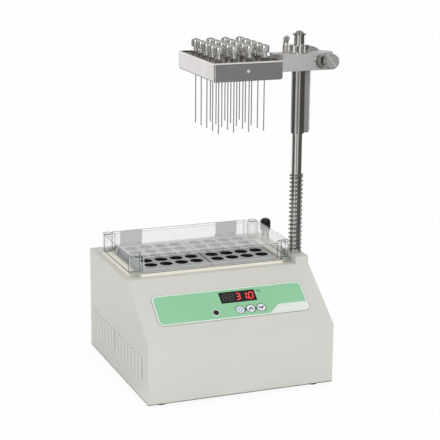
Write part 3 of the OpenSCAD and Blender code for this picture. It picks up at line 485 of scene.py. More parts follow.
# Partly the plastic's own tint, partly painted shade: dark lines on the lid's edges and round the
# posts' ends.
CLEAR_EDGE_TINT_AND_SHADE = ClearFinish("ClearEdge", (128, 142, 142), haze_flat=0.62, haze_upright=0.62)
# Painted highlight: white lines just inside the lid's edges.
CLEAR_HIGHLIGHT = ClearFinish("ClearGleam", (255, 255, 253), haze_flat=0.75, haze_upright=0.75)

NODE_FINISH: dict[str, Surface] = {
    "housing": POWDER_COAT, "rear_panel": POWDER_COAT, "bottom_plate": SHEET_METAL,
    "feet": RUBBER, "control_label": LABEL_GREEN, "display_window": DISPLAY_GLASS,
    "signal_lamp": BLACK_PLASTIC, "button_menu": BUTTON_WHITE, "button_up": BUTTON_WHITE,
    "button_down": BUTTON_WHITE, "tray_frame": CREAM, "block_pan": PAN_METAL,
    "heater_plate": PAN_METAL, "block_left": BLOCK_METAL, "block_right": BLOCK_METAL,
    "power_module": BLACK_PLASTIC, "mains_rocker": KNOB_BLACK, "gas_valve": TURNED_STEEL,
    "gas_knob": KNOB_BLACK, "gas_inlet": BRASS, "hinge_base": SHEET_METAL,
    "lid_shell": CLEAR_LID, "lid_posts": CLEAR_POST, "lid_hinge_plates": HINGE_STEEL,
    "column_rod": ROD_STEEL, "stop_ring": SPRING_STEEL, "buffer_spring": SPRING_STEEL,
    "guide_sleeve": SLEEVE_STEEL, "rack_strip": RACK_STEEL, "column_nut": CHROME,
    "arm": ARM_STEEL, "pinion_bush": TURNED_STEEL, "gas_elbow": ROD_STEEL, "head_box": HEAD_STEEL,
    "gas_chamber": CHAMBER_STEEL, "needle_hubs": TURNED_STEEL, "needles": NEEDLE_STEEL,
    "pinion_shaft": TURNED_STEEL, "hand_knob": SCREW_STEEL, "clamp_screw": TURNED_STEEL,
}


# ---------------------------------------------------------------- mesh helpers


SHARP_ANGLE = math.radians(34)
FINE_STEPS = 2
IN_PLACE = Matrix.Identity(4)


def new_piece(name: str, shell: Shell, finish: Surface, body: Optional[str] = None,
              smooth: bool = False) -> bpy.types.Object:
    """Make a mesh object at the origin.

    Args:
        name: The piece's name.
        shell: Its points in metres in the row frame, and the point numbers of each face,
            turning anticlockwise seen from outside.
        finish: The finish that it gets.
        body: The body that it moves with.
        smooth: Whether its faces are shaded smooth.

    Returns:
        The new object, linked to the scene.
    """
    mesh = bpy.data.meshes.new(name)
    mesh.from_pydata(shell[0], [], shell[1])
    mesh.materials.append(finish.material())
    if smooth:
        mesh.shade_smooth()
    mesh.update()
    return linked(name, mesh, body)


def extrude_outline(outline: Sequence[Spot], place: Matrix, low: float, high: float) -> Shell:
    """Make a flat plate from an outline.

    Args:
        outline: Corners in the plate's own plane, anticlockwise, in metres.
        place: Takes the plate's plane to the row frame, with Z as the plate's normal.
        low: Height of the plate's underside along that normal.
        high: Height of its top.

    Returns:
        The points and the faces.
    """
    count = len(outline)
    points = [tuple(place @ Vector((x, y, h))) for h in (low, high) for x, y in outline]
    faces = [list(range(count))[::-1], list(range(count, 2 * count))]
    faces += [[i, (i + 1) % count, count + (i + 1) % count, count + i] for i in range(count)]
    return points, faces


def circle(centre: Spot, radius: float, steps: int = 32) -> list[Spot]:
    """Return the outline of a circle, anticlockwise."""
    return [(centre[0] + radius * math.cos(2 * math.pi * k / steps),
             centre[1] + radius * math.sin(2 * math.pi * k / steps)) for k in range(steps)]


def rounded_rectangle(width: float, height: float, radius: float, centre: Spot,
                      steps: int = 6) -> list[Spot]:
    """Return the outline of a rectangle with round corners, anticlockwise.

    Args:
        width: Its width.
        height: Its height.
        radius: Radius of its corners.
        centre: Its centre.
        steps: Number of steps round each corner.

    Returns:
        The corners of the outline.
    """
    outline: list[Spot] = []
    for sx, sy, start in ((1, -1, -90), (1, 1, 0), (-1, 1, 90), (-1, -1, 180)):
        for k in range(steps + 1):
            turn = math.radians(start + 90.0 * k / steps)
            outline.append((centre[0] + sx * (width / 2 - radius) + radius * math.cos(turn),
                            centre[1] + sy * (height / 2 - radius) + radius * math.sin(turn)))
    return outline


def ring_plate(outer: Sequence[Spot], inner: Sequence[Spot], place: Matrix, low: float,
               high: float) -> Shell:
    """Make a flat closed ring between two outlines with the same number of corners.

    Args:
        outer: The outer outline, anticlockwise.
        inner: The inner outline, anticlockwise.
        place: Takes the ring's plane to the row frame.
        low: Height of the underside.
        high: Height of the top.

    Returns:
        The points and the faces.
    """
    n = len(outer)
    points = [tuple(place @ Vector((x, y, h))) for h in (low, high)
              for line in (outer, inner) for x, y in line]
    faces: list[list[int]] = []
    for i in range(n):
        j = (i + 1) % n
        faces.append([n + i, n + j, j, i])
        faces.append([2 * n + i, 2 * n + j, 3 * n + j, 3 * n + i])
        faces.append([i, j, 2 * n + j, 2 * n + i])
        faces.append([n + j, n + i, 3 * n + i, 3 * n + j])
    return points, faces


def joined(shells: Iterable[Shell]) -> Shell:
    """Put several point and face lists into one.

    Args:
        shells: The lists.

    Returns:
        All the points and all the faces.
    """
    points: list[Point] = []
    faces: list[list[int]] = []
    for some_points, some_faces in shells:
        start = len(points)
        points += some_points
        faces += [[start + i for i in face] for face in some_faces]
    return points, faces


def lathe(name: str, profile: Sequence[Spot], finish: Surface,
          steps: int = 32) -> bpy.types.Object:
    """Turn an open profile that starts and ends on the Z axis into a closed solid.

    Args:
        name: The piece's name.
        profile: Radius and height of each point, running anticlockwise from the lower end.
        finish: The finish that it gets.
        steps: Number of steps round the axis.

    Returns:
        The new object, with its axis on Z.
    """
    rim = profile[1:-1]
    points: list[Point] = [(0.0, 0.0, profile[0][1]), (0.0, 0.0, profile[-1][1])]
    for k in range(steps):
        turn = 2 * math.pi * k / steps
        points += [(r * math.cos(turn), r * math.sin(turn), z) for r, z in rim]
    faces: list[list[int]] = []
    for k in range(steps):
        a, b = 2 + k * len(rim), 2 + (k + 1) % steps * len(rim)
        faces.append([0, b, a])
        faces.append([1, a + len(rim) - 1, b + len(rim) - 1])
        faces += [[a + i, b + i, b + i + 1, a + i + 1] for i in range(len(rim) - 1)]
    made = new_piece(name, (points, faces), finish, smooth=True)
    made.data.set_sharp_from_angle(angle=SHARP_ANGLE)
    return made


def aimed(position: Point, normal: Point, turn: float = 0.0) -> Matrix:
    """Return a matrix at a position whose Z axis is the normal.

    Args:
        position: The place in metres.
        normal: The direction of the matrix's Z axis.
        turn: A turn about that axis in degrees.

    Returns:
        The matrix.
    """
    quat = Vector((0, 0, 1)).rotation_difference(Vector(normal).normalized())
    return (Matrix.Translation(Vector(position)) @ quat.to_matrix().to_4x4()
            @ Matrix.Rotation(math.radians(turn), 4, "Z"))


# ---------------------------------------------------------------- shape trees


class ShapeTree(NodeTree):
    """A Geometry Nodes tree under construction, with named inputs."""

    def __init__(self, name: str) -> None:
        """Start an empty tree with one geometry output.

        Args:
            name: The tree's name.
        """
        super().__init__(bpy.data.node_groups.new(name, "GeometryNodeTree"))
        self.tree.interface.new_socket("Geometry", in_out="OUTPUT",
                                       socket_type="NodeSocketGeometry")
        self.source = self.tree.nodes.new("NodeGroupInput")
        self.sink = self.tree.nodes.new("NodeGroupOutput")
        self.values: dict[str, float | int] = {}
        self.dress: Optional[bpy.types.Material] = None

    def size(self, name: str, value: float) -> bpy.types.NodeSocket:
        """Add a named number input.

        Args:
            name: The input's name.
            value: What the finished piece uses.

        Returns:
            The socket that carries it in the tree.
        """
        kind = "NodeSocketInt" if isinstance(value, int) else "NodeSocketFloat"
        self.tree.interface.new_socket(name, in_out="INPUT", socket_type=kind)
        self.values[name] = value
        return self.source.outputs[name]

    def box(self, x: object, y: object, z: object) -> bpy.types.NodeSocket:
        """Make a box.

        Args:
            x: Its size along X, a socket or a number.
            y: Its size along Y.
            z: Its size along Z.

        Returns:
            The socket with the mesh.
        """
        size = self.node("ShaderNodeCombineXYZ", {"X": x, "Y": y, "Z": z})
        return self.node("GeometryNodeMeshCube",
                         {"Size": size.outputs["Vector"]}).outputs["Mesh"]

    def shape_of(self, thing: bpy.types.Object) -> bpy.types.NodeSocket:
        """Bring in another object's shape."""
        return self.node("GeometryNodeObjectInfo", {"Object": thing},
                         transform_space="ORIGINAL").outputs["Geometry"]

    def tube(self, path: bpy.types.NodeSocket, sides: object, radius: object,
             closed: bool = True) -> bpy.types.NodeSocket:
        """Sweep a round section along a curve.

        Args:
            path: The curve.
            sides: Number of sides of the section.
            radius: Radius of the section.
            closed: Whether the ends get caps.

        Returns:
            The socket with the mesh.
        """
        section = self.node("GeometryNodeCurvePrimitiveCircle", {
            "Resolution": sides, "Radius": radius})
        return self.node("GeometryNodeCurveToMesh", {
            "Curve": path, "Profile Curve": section.outputs["Curve"],
            "Fill Caps": closed}).outputs["Mesh"]

    def spread(self, points: bpy.types.NodeSocket,
               shape: bpy.types.NodeSocket) -> bpy.types.NodeSocket:
        """Put a copy of a shape at every point."""
        return self.node("GeometryNodeInstanceOnPoints", {
            "Points": points, "Instance": shape}).outputs["Instances"]

    def together(self, shapes: Iterable[bpy.types.NodeSocket]) -> bpy.types.NodeSocket:
        """Join several shapes into one.

        Args:
            shapes: The sockets with the shapes.

        Returns:
            The socket with all of them.
        """
        whole = self.node("GeometryNodeJoinGeometry")
        for shape in shapes:
            self.link(shape, whole.inputs["Geometry"])
        return whole.outputs["Geometry"]

    def finish(self, geometry: bpy.types.NodeSocket, finish: Surface) -> None:
        """End the tree in Realize Instances and Set Material.

        Args:
            geometry: The socket with the whole shape.
            finish: The finish that it gets.
        """
        self.dress = finish.material()
        real = self.node("GeometryNodeRealizeInstances", {"Geometry": geometry})
        dressed = self.node("GeometryNodeSetMaterial", {
            "Geometry": real.outputs["Geometry"], "Material": self.dress})
        self.link(dressed.outputs["Geometry"], self.sink.inputs["Geometry"])

    def bake(self, name: str, body: Optional[str] = None,
             place: Matrix = IN_PLACE) -> bpy.types.Object:
        """Run the tree once and keep its result as a plain mesh.

        Args:
            name: The piece's name.
            body: The body that it moves with.
            place: Takes the tree's own frame to the row frame.

        Returns:
            A mesh object at the origin with no modifier.
        """
        host = linked(name + "_host", bpy.data.meshes.new(name + "_host"))
        change = host.modifiers.new("shape", "NODES")
        change.node_group = self.tree
        for item in self.tree.interface.items_tree:
            if item.item_type == "SOCKET" and item.in_out == "INPUT" and item.name in self.values:
                change[item.identifier] = self.values[item.name]
        graph = bpy.context.evaluated_depsgraph_get()
        graph.update()
        mesh = bpy.data.meshes.new_from_object(host.evaluated_get(graph), depsgraph=graph)
        mesh.transform(place)
        mesh.name = name
        mesh.materials.clear()
        mesh.materials.append(self.dress)
        mesh.polygons.foreach_set("material_index", [0] * len(mesh.polygons))
        bpy.data.objects.remove(host)
        return linked(name, mesh, body)


@dataclass(frozen=True)
class ScrewKind:
    """The sizes of one kind of cross-slotted pan-head screw."""

    head: float
    height: float
    slot: float
    finish: Finish
    sides: int = 20
    top_share: float = 0.72
    slot_reach: float = 1.3
    slot_rise: float = 1.2

    def screws(self, name: str, places: Sequence[Matrix], body: str) -> bpy.types.Object:
        """Make screws at several places as one piece.

        Args:
            name: The piece's name.
            places: A matrix for each screw, with Z pointing out of the surface.
            body: The body that they hold to.

        Returns:
            One mesh object with all the screws.
        """
        tree = ShapeTree(name + "_tree")
        radius = tree.size("Head radius", self.head / 2)
        tall = tree.size("Head height", self.height)
        gap = tree.size("Slot width", self.slot)
        dome = tree.node("GeometryNodeMeshCone", {
            "Vertices": self.sides, "Radius Bottom": radius, "Depth": tall,
            "Radius Top": tree.maths("MULTIPLY", radius, self.top_share)})
        cut = tree.node("GeometryNodeMeshBoolean", {"Mesh 1": dome.outputs["Mesh"]},
                        operation="DIFFERENCE", solver="EXACT")
        reach = tree.maths("MULTIPLY", radius, self.slot_reach)
        rise = tree.node("ShaderNodeCombineXYZ", {
            "Z": tree.maths("MULTIPLY", tall, self.slot_rise)})
        for turn in (0.0, math.pi / 2):
            bar = tree.node("GeometryNodeTransform", {
                "Geometry": tree.box(reach, gap, tall),
                "Translation": rise.outputs["Vector"], "Rotation": (0.0, 0.0, turn)})
            tree.link(bar.outputs["Geometry"], cut.inputs["Mesh 2"])
        tree.finish(cut.outputs["Mesh"], self.finish)
        one = tree.bake(name + "_one")
        shell = joined(([tuple(place @ v.co) for v in one.data.vertices],
                        [list(p.vertices) for p in one.data.polygons]) for place in places)
        bpy.data.objects.remove(one)
        return new_piece(name, shell, self.finish, body)


# ---------------------------------------------------------------- studio


@dataclass(frozen=True)
class Lamp:
    """One square lamp that points at the object."""

    name: str
    place: Point
    width: float
    power: float
    aim: Point = (0.0, 0.0, 0.15)

    def hang(self) -> None:
        """Add the lamp to the scene."""
        data = bpy.data.lights.new(self.name, "AREA")
        data.shape = "SQUARE"
        data.size = self.width
        data.energy = self.power
        back = Vector(self.place) - Vector(self.aim)
        linked(self.name, data).matrix_world = (
            Matrix.Translation(Vector(self.place))
            @ back.to_track_quat("Z", "Y").to_matrix().to_4x4())


@dataclass
class Studio:
    """Pale floor, soft light and the camera at the photograph's place.

    A flag is a dark or bright screen that only metal sees. It has an angle in degrees from the
    camera's direction and a grey. Levels of the world are shares of the way from the horizon up.
    """

    floor_z: float = -5.0 * MM
    floor_reach: float = 4.0
    floor_grey: float = 0.95
    floor_roughness: float = 0.9
    frame_px: float = 440.0
    focal_px: float = 1449.66
    sensor_mm: float = 36.0
    near_and_far: tuple[float, float] = (0.05, 20.0)
    azimuth: float = -21.466
    elevation: float = 14.471
    roll: float = 0.504
    look_at: Point = (0.0, -3.5 * MM, 84.0 * MM)
    distance: float = 1605.0 * MM
    shift_right: float = 12.03 * MM
    shift_up: float = 77.96 * MM
    paper_glow: float = 0.92
    side_light: float = 1.0
    top_light: float = 0.84
    light_levels: tuple[float, float] = (0.1, 0.9)
    top_mirror: float = 0.34
    mirror_levels: tuple[float, float] = (0.15, 0.6)
    flags: tuple[Spot, ...] = (
        (-180.0, 0.9), (-125.0, 0.95), (-108.0, 0.14), (-48.0, 0.1), (-36.0, 1.0), (-16.0, 1.0),
        (-8.0, 0.3), (12.0, 0.26), (20.0, 1.0), (34.0, 1.0), (42.0, 0.13), (100.0, 0.1),
        (118.0, 0.5), (150.0, 0.6), (180.0, 0.9))
    floor_flags: tuple[Spot, ...] = (
        (-180.0, 0.1), (-158.0, 0.12), (-150.0, 0.95), (-126.0, 0.95), (-114.0, 0.12),
        (-52.0, 0.1), (-40.0, 1.0), (-18.0, 1.0), (-10.0, 0.3), (8.0, 0.26), (16.0, 0.9),
        (28.0, 0.9), (36.0, 0.13), (130.0, 0.1), (180.0, 0.1))
    lamps: tuple[Lamp, ...] = (Lamp("KeyLamp", (-1.3, -1.3, 1.2), 0.8, 5.5),
                               Lamp("FillLamp", (0.9, -1.5, 0.9), 1.0, 2.0))

    def camera(self) -> None:
        """Place the camera and make it the scene's own."""
        az, el, ro = (math.radians(v) for v in (self.azimuth, self.elevation, self.roll))
        back = Vector((math.sin(az) * math.cos(el), -math.cos(az) * math.cos(el),
                       math.sin(el)))
        right = Vector((math.cos(az), math.sin(az), 0.0))
        up = back.cross(right)
        rolled_right = math.cos(ro) * right + math.sin(ro) * up
        rolled_up = -math.sin(ro) * right + math.cos(ro) * up
        data = bpy.data.cameras.new("Camera")
        data.sensor_fit = "HORIZONTAL"
        data.sensor_width = self.sensor_mm
        data.lens = self.sensor_mm * self.focal_px / self.frame_px
        data.clip_start, data.clip_end = self.near_and_far
        turn = Matrix((rolled_right, rolled_up, back)).transposed().to_4x4()
        place = (Vector(self.look_at) + back * self.distance
                 + rolled_right * self.shift_right + rolled_up * self.shift_up)
        made = linked("Camera", data)
        made.matrix_world = Matrix.Translation(place) @ turn
        bpy.context.scene.camera = made

    def bands(self, tree: NodeTree, place: bpy.types.NodeSocket,
              flags: Sequence[Spot]) -> bpy.types.NodeSocket:
        """Add the dark and bright flags that the metal mirrors, as a ring round the object.

        Args:
            tree: The shader tree that gets the nodes.
            place: A position or direction seen from the object.
            flags: Degrees from the camera's direction, each with a grey.

        Returns:
            The socket with the grey of the flag that lies that way.
        """
        camera_angle = self.azimuth - 90.0
        parts = tree.node("ShaderNodeSeparateXYZ", {"Vector": place})
        angle = tree.maths("ARCTAN2", parts.outputs["Y"], parts.outputs["X"])
        turned = tree.maths("SUBTRACT", angle, math.radians(camera_angle - 180.0))
        share = tree.maths("FRACT", tree.maths("DIVIDE", turned, 2 * math.pi))
        stops = [((degrees + 180.0) / 360.0, grey(tone)) for degrees, tone in flags]
        return tree.ramp(share, stops, "EASE")

    def floor(self) -> None:
        """Lay the pale floor, which stays white to the lens and keeps a faint shadow."""
        made = bpy.data.materials.new("FloorPaper")
        made.use_nodes = True
        nodes = made.node_tree.nodes
        tree = NodeTree(made.node_tree)
        shader = nodes["Principled BSDF"]
        shader.inputs["Base Color"].default_value = grey(self.floor_grey)
        shader.inputs["Roughness"].default_value = self.floor_roughness
        shader.inputs["Specular IOR Level"].default_value = 0.0
        glow = tree.node("ShaderNodeEmission", {"Color": grey(1.0), "Strength": 1.0})
        around = tree.node("ShaderNodeTexCoord").outputs["Object"]
        mirrored = tree.node("ShaderNodeEmission", {
            "Color": self.bands(tree, around, self.floor_flags)})
        path = tree.node("ShaderNodeLightPath")
        white = tree.maths("MULTIPLY", path.outputs["Is Camera Ray"], self.paper_glow)
        lens = tree.mixed_shader(white, shader.outputs["BSDF"], glow.outputs["Emission"])
        mix = tree.mixed_shader(path.outputs["Is Glossy Ray"], lens, mirrored.outputs["Emission"])
        tree.link(mix, nodes["Material Output"].inputs["Surface"])
        mesh = bpy.data.meshes.new("Floor")
        mesh.from_pydata([(x * self.floor_reach, y * self.floor_reach, self.floor_z)
                          for x, y in ((-1, -1), (1, -1), (1, 1), (-1, 1))], [], [(0, 1, 2, 3)])
        mesh.materials.append(made)
        linked("Floor", mesh)

    def light(self) -> None:
        """Set the soft lamps and the white surroundings."""
        world = bpy.data.worlds.new("SoftRoom")
        bpy.context.scene.world = world
        world.use_nodes = True
        nodes = world.node_tree.nodes
        tree = NodeTree(world.node_tree)
        around = tree.node("ShaderNodeTexCoord").outputs["Generated"]
        height = tree.node("ShaderNodeSeparateXYZ", {"Vector": around}).outputs["Z"]
        lit = tree.ramp(height, list(zip(self.light_levels,
                                         (grey(self.side_light), grey(self.top_light)))))
        level = tree.spread_out(height, 0.0, 1.0, *self.mirror_levels)
        mirror = tree.mixed_colour(level, self.bands(tree, around, self.flags),
                                   grey(self.top_mirror))
        path = tree.node("ShaderNodeLightPath")
        sky = nodes["Background"]
        sky.inputs["Strength"].default_value = 1.0
        tree.link(tree.mixed_colour(path.outputs["Is Glossy Ray"], lit, mirror),
                  sky.inputs["Color"])
        plain = tree.node("ShaderNodeBackground", {"Color": grey(1.0), "Strength": 1.0})
        mix = tree.mixed_shader(path.outputs["Is Camera Ray"], sky.outputs["Background"],
                                plain.outputs["Background"])
        tree.link(mix, nodes["World Output"].inputs["Surface"])
        for lamp in self.lamps:
            lamp.hang()
        bpy.context.scene.view_settings.view_transform = "Standard"


# ---------------------------------------------------------------- control panel


class Mark(Enum):
    """What is printed on a button: a ring, or an arrow as its way up the slope."""

    RING = 0.0
    UP = 1.0
    DOWN = -1.0


@dataclass
class ControlPanel:
    """The printed label, display digits, button marks and lamp ring on the slope.

    Places on the slope are given as u to the right of its middle and v up from its lower bend.
    """

    front_y: float = -103.5 * MM
    bend_z: float = 64.5 * MM
    slope_depth: float = 68.5 * MM
    slope_rise: float = 50.0 * MM
    label_top: float = 0.4 * MM
    label_width: float = 169.0 * MM
    label_height: float = 36.0 * MM
    label_foot: float = 24.0 * MM
    label_drop: float = 0.5 * MM
    label_corner: float = 5.0 * MM
    label_out: float = 1.5 * MM
    label_rise: float = 0.02 * MM
    line_width: float = 0.5 * MM
    line_drop: float = 0.15 * MM
    border_width: float = 1.5 * MM
    field_left: float = 39.5 * MM
    field_slant: float = 52.0 * MM
    field_right: float = 84.4 * MM
    field_height: float = 10.2 * MM
    field_drop: float = 0.4 * MM
    field_rise: float = 0.06 * MM
    print_root: float = 0.1 * MM
    digit_rise: float = 0.04 * MM
    ink_rise: float = 0.05 * MM
    display_u: float = 9.5 * MM
    display_v: float = 49.25 * MM
    glass_top: float = 0.6 * MM
    digit_size: float = 8.2 * MM
    digit_pitch: float = 7.4 * MM
    digits_left: float = 17.6 * MM
    lit_start: float = 2.04
    point_start: float = 3.89
    point_size: float = 1.1 * MM
    point_lift: float = 0.2 * MM
    digit_width_share: float = 0.55
    bar_share: float = 0.13
    bar_tip_share: float = 0.35
    digit_lean: float = 0.12
    buttons_v: float = 31.4 * MM
    button_top: float = 1.3 * MM
    button_u: tuple[float, float, float] = (6.8 * MM, 18.9 * MM, 31.0 * MM)
    button_rim: Spot = (5.3 * MM, 4.6 * MM)
    rim_rise: float = 0.03 * MM
    ring_mark: Spot = (2.6 * MM, 1.6 * MM)
    arrow_mm: tuple[Spot, ...] = ((-3.0, -0.9), (-2.0, -1.9), (0.0, 0.1), (2.0, -1.9),
                                  (3.0, -0.9), (0.0, 2.1))
    link_size: Spot = (1.1 * MM, 3.4 * MM)
    fine_corner: float = 0.3 * MM
    lamp_u: float = -20.7 * MM
    lamp_hoop: Spot = (4.1 * MM, 3.3 * MM)
    lamp_rise: float = 0.35 * MM
    degree_spot: Spot = (33.2 * MM, 54.6 * MM)
    degree_hoop: Spot = (0.9 * MM, 0.45 * MM)
    degree_steps: int = 16
    scale_spot: Spot = (36.0 * MM, 53.5 * MM)
    scale_outer: Spot = (1.7 * MM, 1.9 * MM)
    scale_inner: Spot = (1.1 * MM, 1.3 * MM)
    scale_arc: tuple[int, int] = (40, 280)
    scale_steps: int = 12
    made: list[bpy.types.Object] = field(default_factory=list)

    @property
    def place(self) -> Matrix:
        """The slope's frame: X to the right, Y up the slope, Z out of it."""
        lean = math.atan2(self.slope_rise, self.slope_depth)
        return (Matrix.Translation(Vector((0.0, self.front_y, self.bend_z)))
                @ Matrix.Rotation(lean, 4, "X"))

    def add(self, name: str, shell: Shell, finish: Finish,
            body: str = "base") -> bpy.types.Object:
        """Make one piece of the panel.

        Args:
            name: The piece's name.
            shell: Its points and faces.
            finish: Its finish.
            body: The body that it moves with.

        Returns:
            The new piece.
        """
        piece = new_piece(name, shell, finish, body)
        self.made.append(piece)
        return piece

    def printed(self, outline: Sequence[Spot], top: float, rise: float) -> Shell:
        """Raise a printed shape out of the face with that top."""
        return extrude_outline(outline, self.place, top - self.print_root, top + rise)

    def hoop(self, centre: Spot, radii: Spot, top: float, rise: float, steps: int = 32) -> Shell:
        """Raise a printed ring out of the face with that top."""
        outer, inner = (circle(centre, radius, steps) for radius in radii)
        return ring_plate(outer, inner, self.place, top - self.print_root, top + rise)

    def face(self) -> None:
        """Lay the green label with its white border and the fine dark line round it."""
        centre = (0.0, self.label_foot + self.label_height / 2 - self.label_drop)
        line, edge, inside = [
            rounded_rectangle(self.label_width + 2 * out, self.label_height + 2 * out,
                              self.label_corner + out, centre)
            for out in (self.label_out + self.line_width, self.label_out,
                        self.label_out - self.border_width)]
        face = self.add("label_face", extrude_outline(
            edge, self.place, 0.0, self.label_top + self.label_rise), LABEL_GREEN)
        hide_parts("control_label")
        self.add("label_line", ring_plate(
            line, edge, self.place, 0.0, self.label_top - self.line_drop), LABEL_LINE)
        self.add("label_border", ring_plate(
            edge, inside, self.place, 0.0, self.label_top + self.ink_rise), LABEL_WHITE)

    def corner_field(self) -> None:
        """Print the bare pale field at the label's lower right corner."""
        low = self.label_foot - self.field_drop
        high = low + self.field_height
        outline = [(self.field_left, low), (self.field_right, low), (self.field_right, high),
                   (self.field_slant, high)]
        self.add("label_corner_field", self.printed(outline, self.label_top, self.field_rise),
                 LABEL_WHITE)

    def digit(self, name: str, u: float, v: float, lit: str, finish: Finish) -> None:
        """Set one seven-bar digit behind the display.

        Args:
            name: The piece's name.
            u: Place of its left edge.
            v: Place of its lower edge.
            lit: Names of its bars, a to g.
            finish: Its finish.
        """
        high = self.digit_size
        wide = high * self.digit_width_share
        thick = high * self.bar_share
        middle, half = high / 2, thick / 2
        bars = {
            "a": ((thick, high), (wide - thick, high)), "d": ((thick, 0.0), (wide - thick, 0.0)),
            "g": ((thick, middle), (wide - thick, middle)),
            "f": ((0.0, middle + half), (0.0, high - half)),
            "e": ((0.0, half), (0.0, middle - half)),
            "b": ((wide, middle + half), (wide, high - half)),
            "c": ((wide, half), (wide, middle - half)),
        }
        parts = []
        for bar in lit:
            start, end = (Vector(corner) for corner in bars[bar])
            along = (end - start).normalized() * (thick * self.bar_tip_share)
            across = Vector((-along.y, along.x)).normalized() * half
            outline = [start - along, start + along - across, end - along - across,
                       end + along, end - along + across, start + along + across]
            parts.append(self.printed([(u + p.x + self.digit_lean * p.y, v + p.y)
                                       for p in outline], self.glass_top, self.digit_rise))
        self.add(name, joined(parts), finish)

    def digits(self) -> None:
        """Fill the display: a dim pair on the left and a lit reading on the right."""
        low = self.display_v - self.digit_size / 2
        left = self.display_u - self.digits_left
        for k in range(2):
            self.digit(f"display_dim_{k + 1}", left + k * self.digit_pitch, low, "abcdefg",
                       DIGIT_DIM)
        for k, bars in enumerate(("abcdg", "bc", "abcdef")):
            self.digit(f"display_lit_{k + 1}", left + (self.lit_start + k) * self.digit_pitch,
                       low, bars, DIGIT_LIT)
        spot = (left + self.point_start * self.digit_pitch, low + self.point_lift)
        outline = rounded_rectangle(self.point_size, self.point_size, self.fine_corner, spot,
                                    FINE_STEPS)
        self.add("display_point", self.printed(outline, self.glass_top, self.digit_rise),
                 DIGIT_LIT)

    def button_marks(self) -> None:
        """Print a ring or an arrow on each button, and the link lines between them."""
        for name, u, mark in zip(("menu", "up", "down"), self.button_u, Mark):
            body = "button_" + name
            centre = (u, self.buttons_v)
            self.add(f"button_{name}_rim",
                     self.hoop(centre, self.button_rim, self.button_top, self.rim_rise),
                     LABEL_DARK, body)
            if mark is Mark.RING:
                self.add(f"button_{name}_mark",
                         self.hoop(centre, self.ring_mark, self.button_top, self.digit_rise),
                         LEGEND_BLUE, body)
                continue
            arrow = [(u + x * MM, self.buttons_v + mark.value * y * MM)
                     for x, y in self.arrow_mm]
            if mark is Mark.DOWN:
                arrow.reverse()
            self.add(f"button_{name}_mark",
                     self.printed(arrow, self.button_top, self.digit_rise), LABEL_DARK, body)
        links = [rounded_rectangle(*self.link_size, self.fine_corner,
                                   ((a + b) / 2, self.buttons_v), FINE_STEPS)
                 for a, b in zip(self.button_u, self.button_u[1:])]
        self.add("button_links", joined(self.printed(outline, self.label_top, self.ink_rise)
                                        for outline in links), LABEL_DARK)

    def lamp_ring(self) -> None:
        """Set a pale ring round the signal lamp."""
        self.add("lamp_ring", self.hoop((self.lamp_u, self.buttons_v), self.lamp_hoop,
                                        self.label_top, self.lamp_rise), LABEL_WHITE)

    def degree_mark(self) -> None:
        """Print the small degree mark and its scale letter beside the display."""
        ring = self.hoop(self.degree_spot, self.degree_hoop, self.label_top, self.ink_rise,
                         self.degree_steps)
        first, sweep = self.scale_arc
        arc = [math.radians(first + sweep * k / self.scale_steps)
               for k in range(self.scale_steps + 1)]
        u, v = self.scale_spot
        outline = [(u + wide * math.cos(t), v + high * math.sin(t))
                   for (wide, high), turns in ((self.scale_outer, arc),
                                               (self.scale_inner, arc[::-1])) for t in turns]
        letter = self.printed(outline, self.label_top, self.ink_rise)
        self.add("degree_mark", joined([ring, letter]), LABEL_DARK)

    def build(self) -> list[bpy.types.Object]:
        """Make every piece of the panel."""
        for part in (self.face, self.corner_field, self.digits, self.button_marks,
                     self.lamp_ring, self.degree_mark):
            part()
        return self.made


# ---------------------------------------------------------------- base trim


class Side(Enum):
    """The left or the right one of a pair, as its way along X."""

    LEFT = -1
    RIGHT = 1


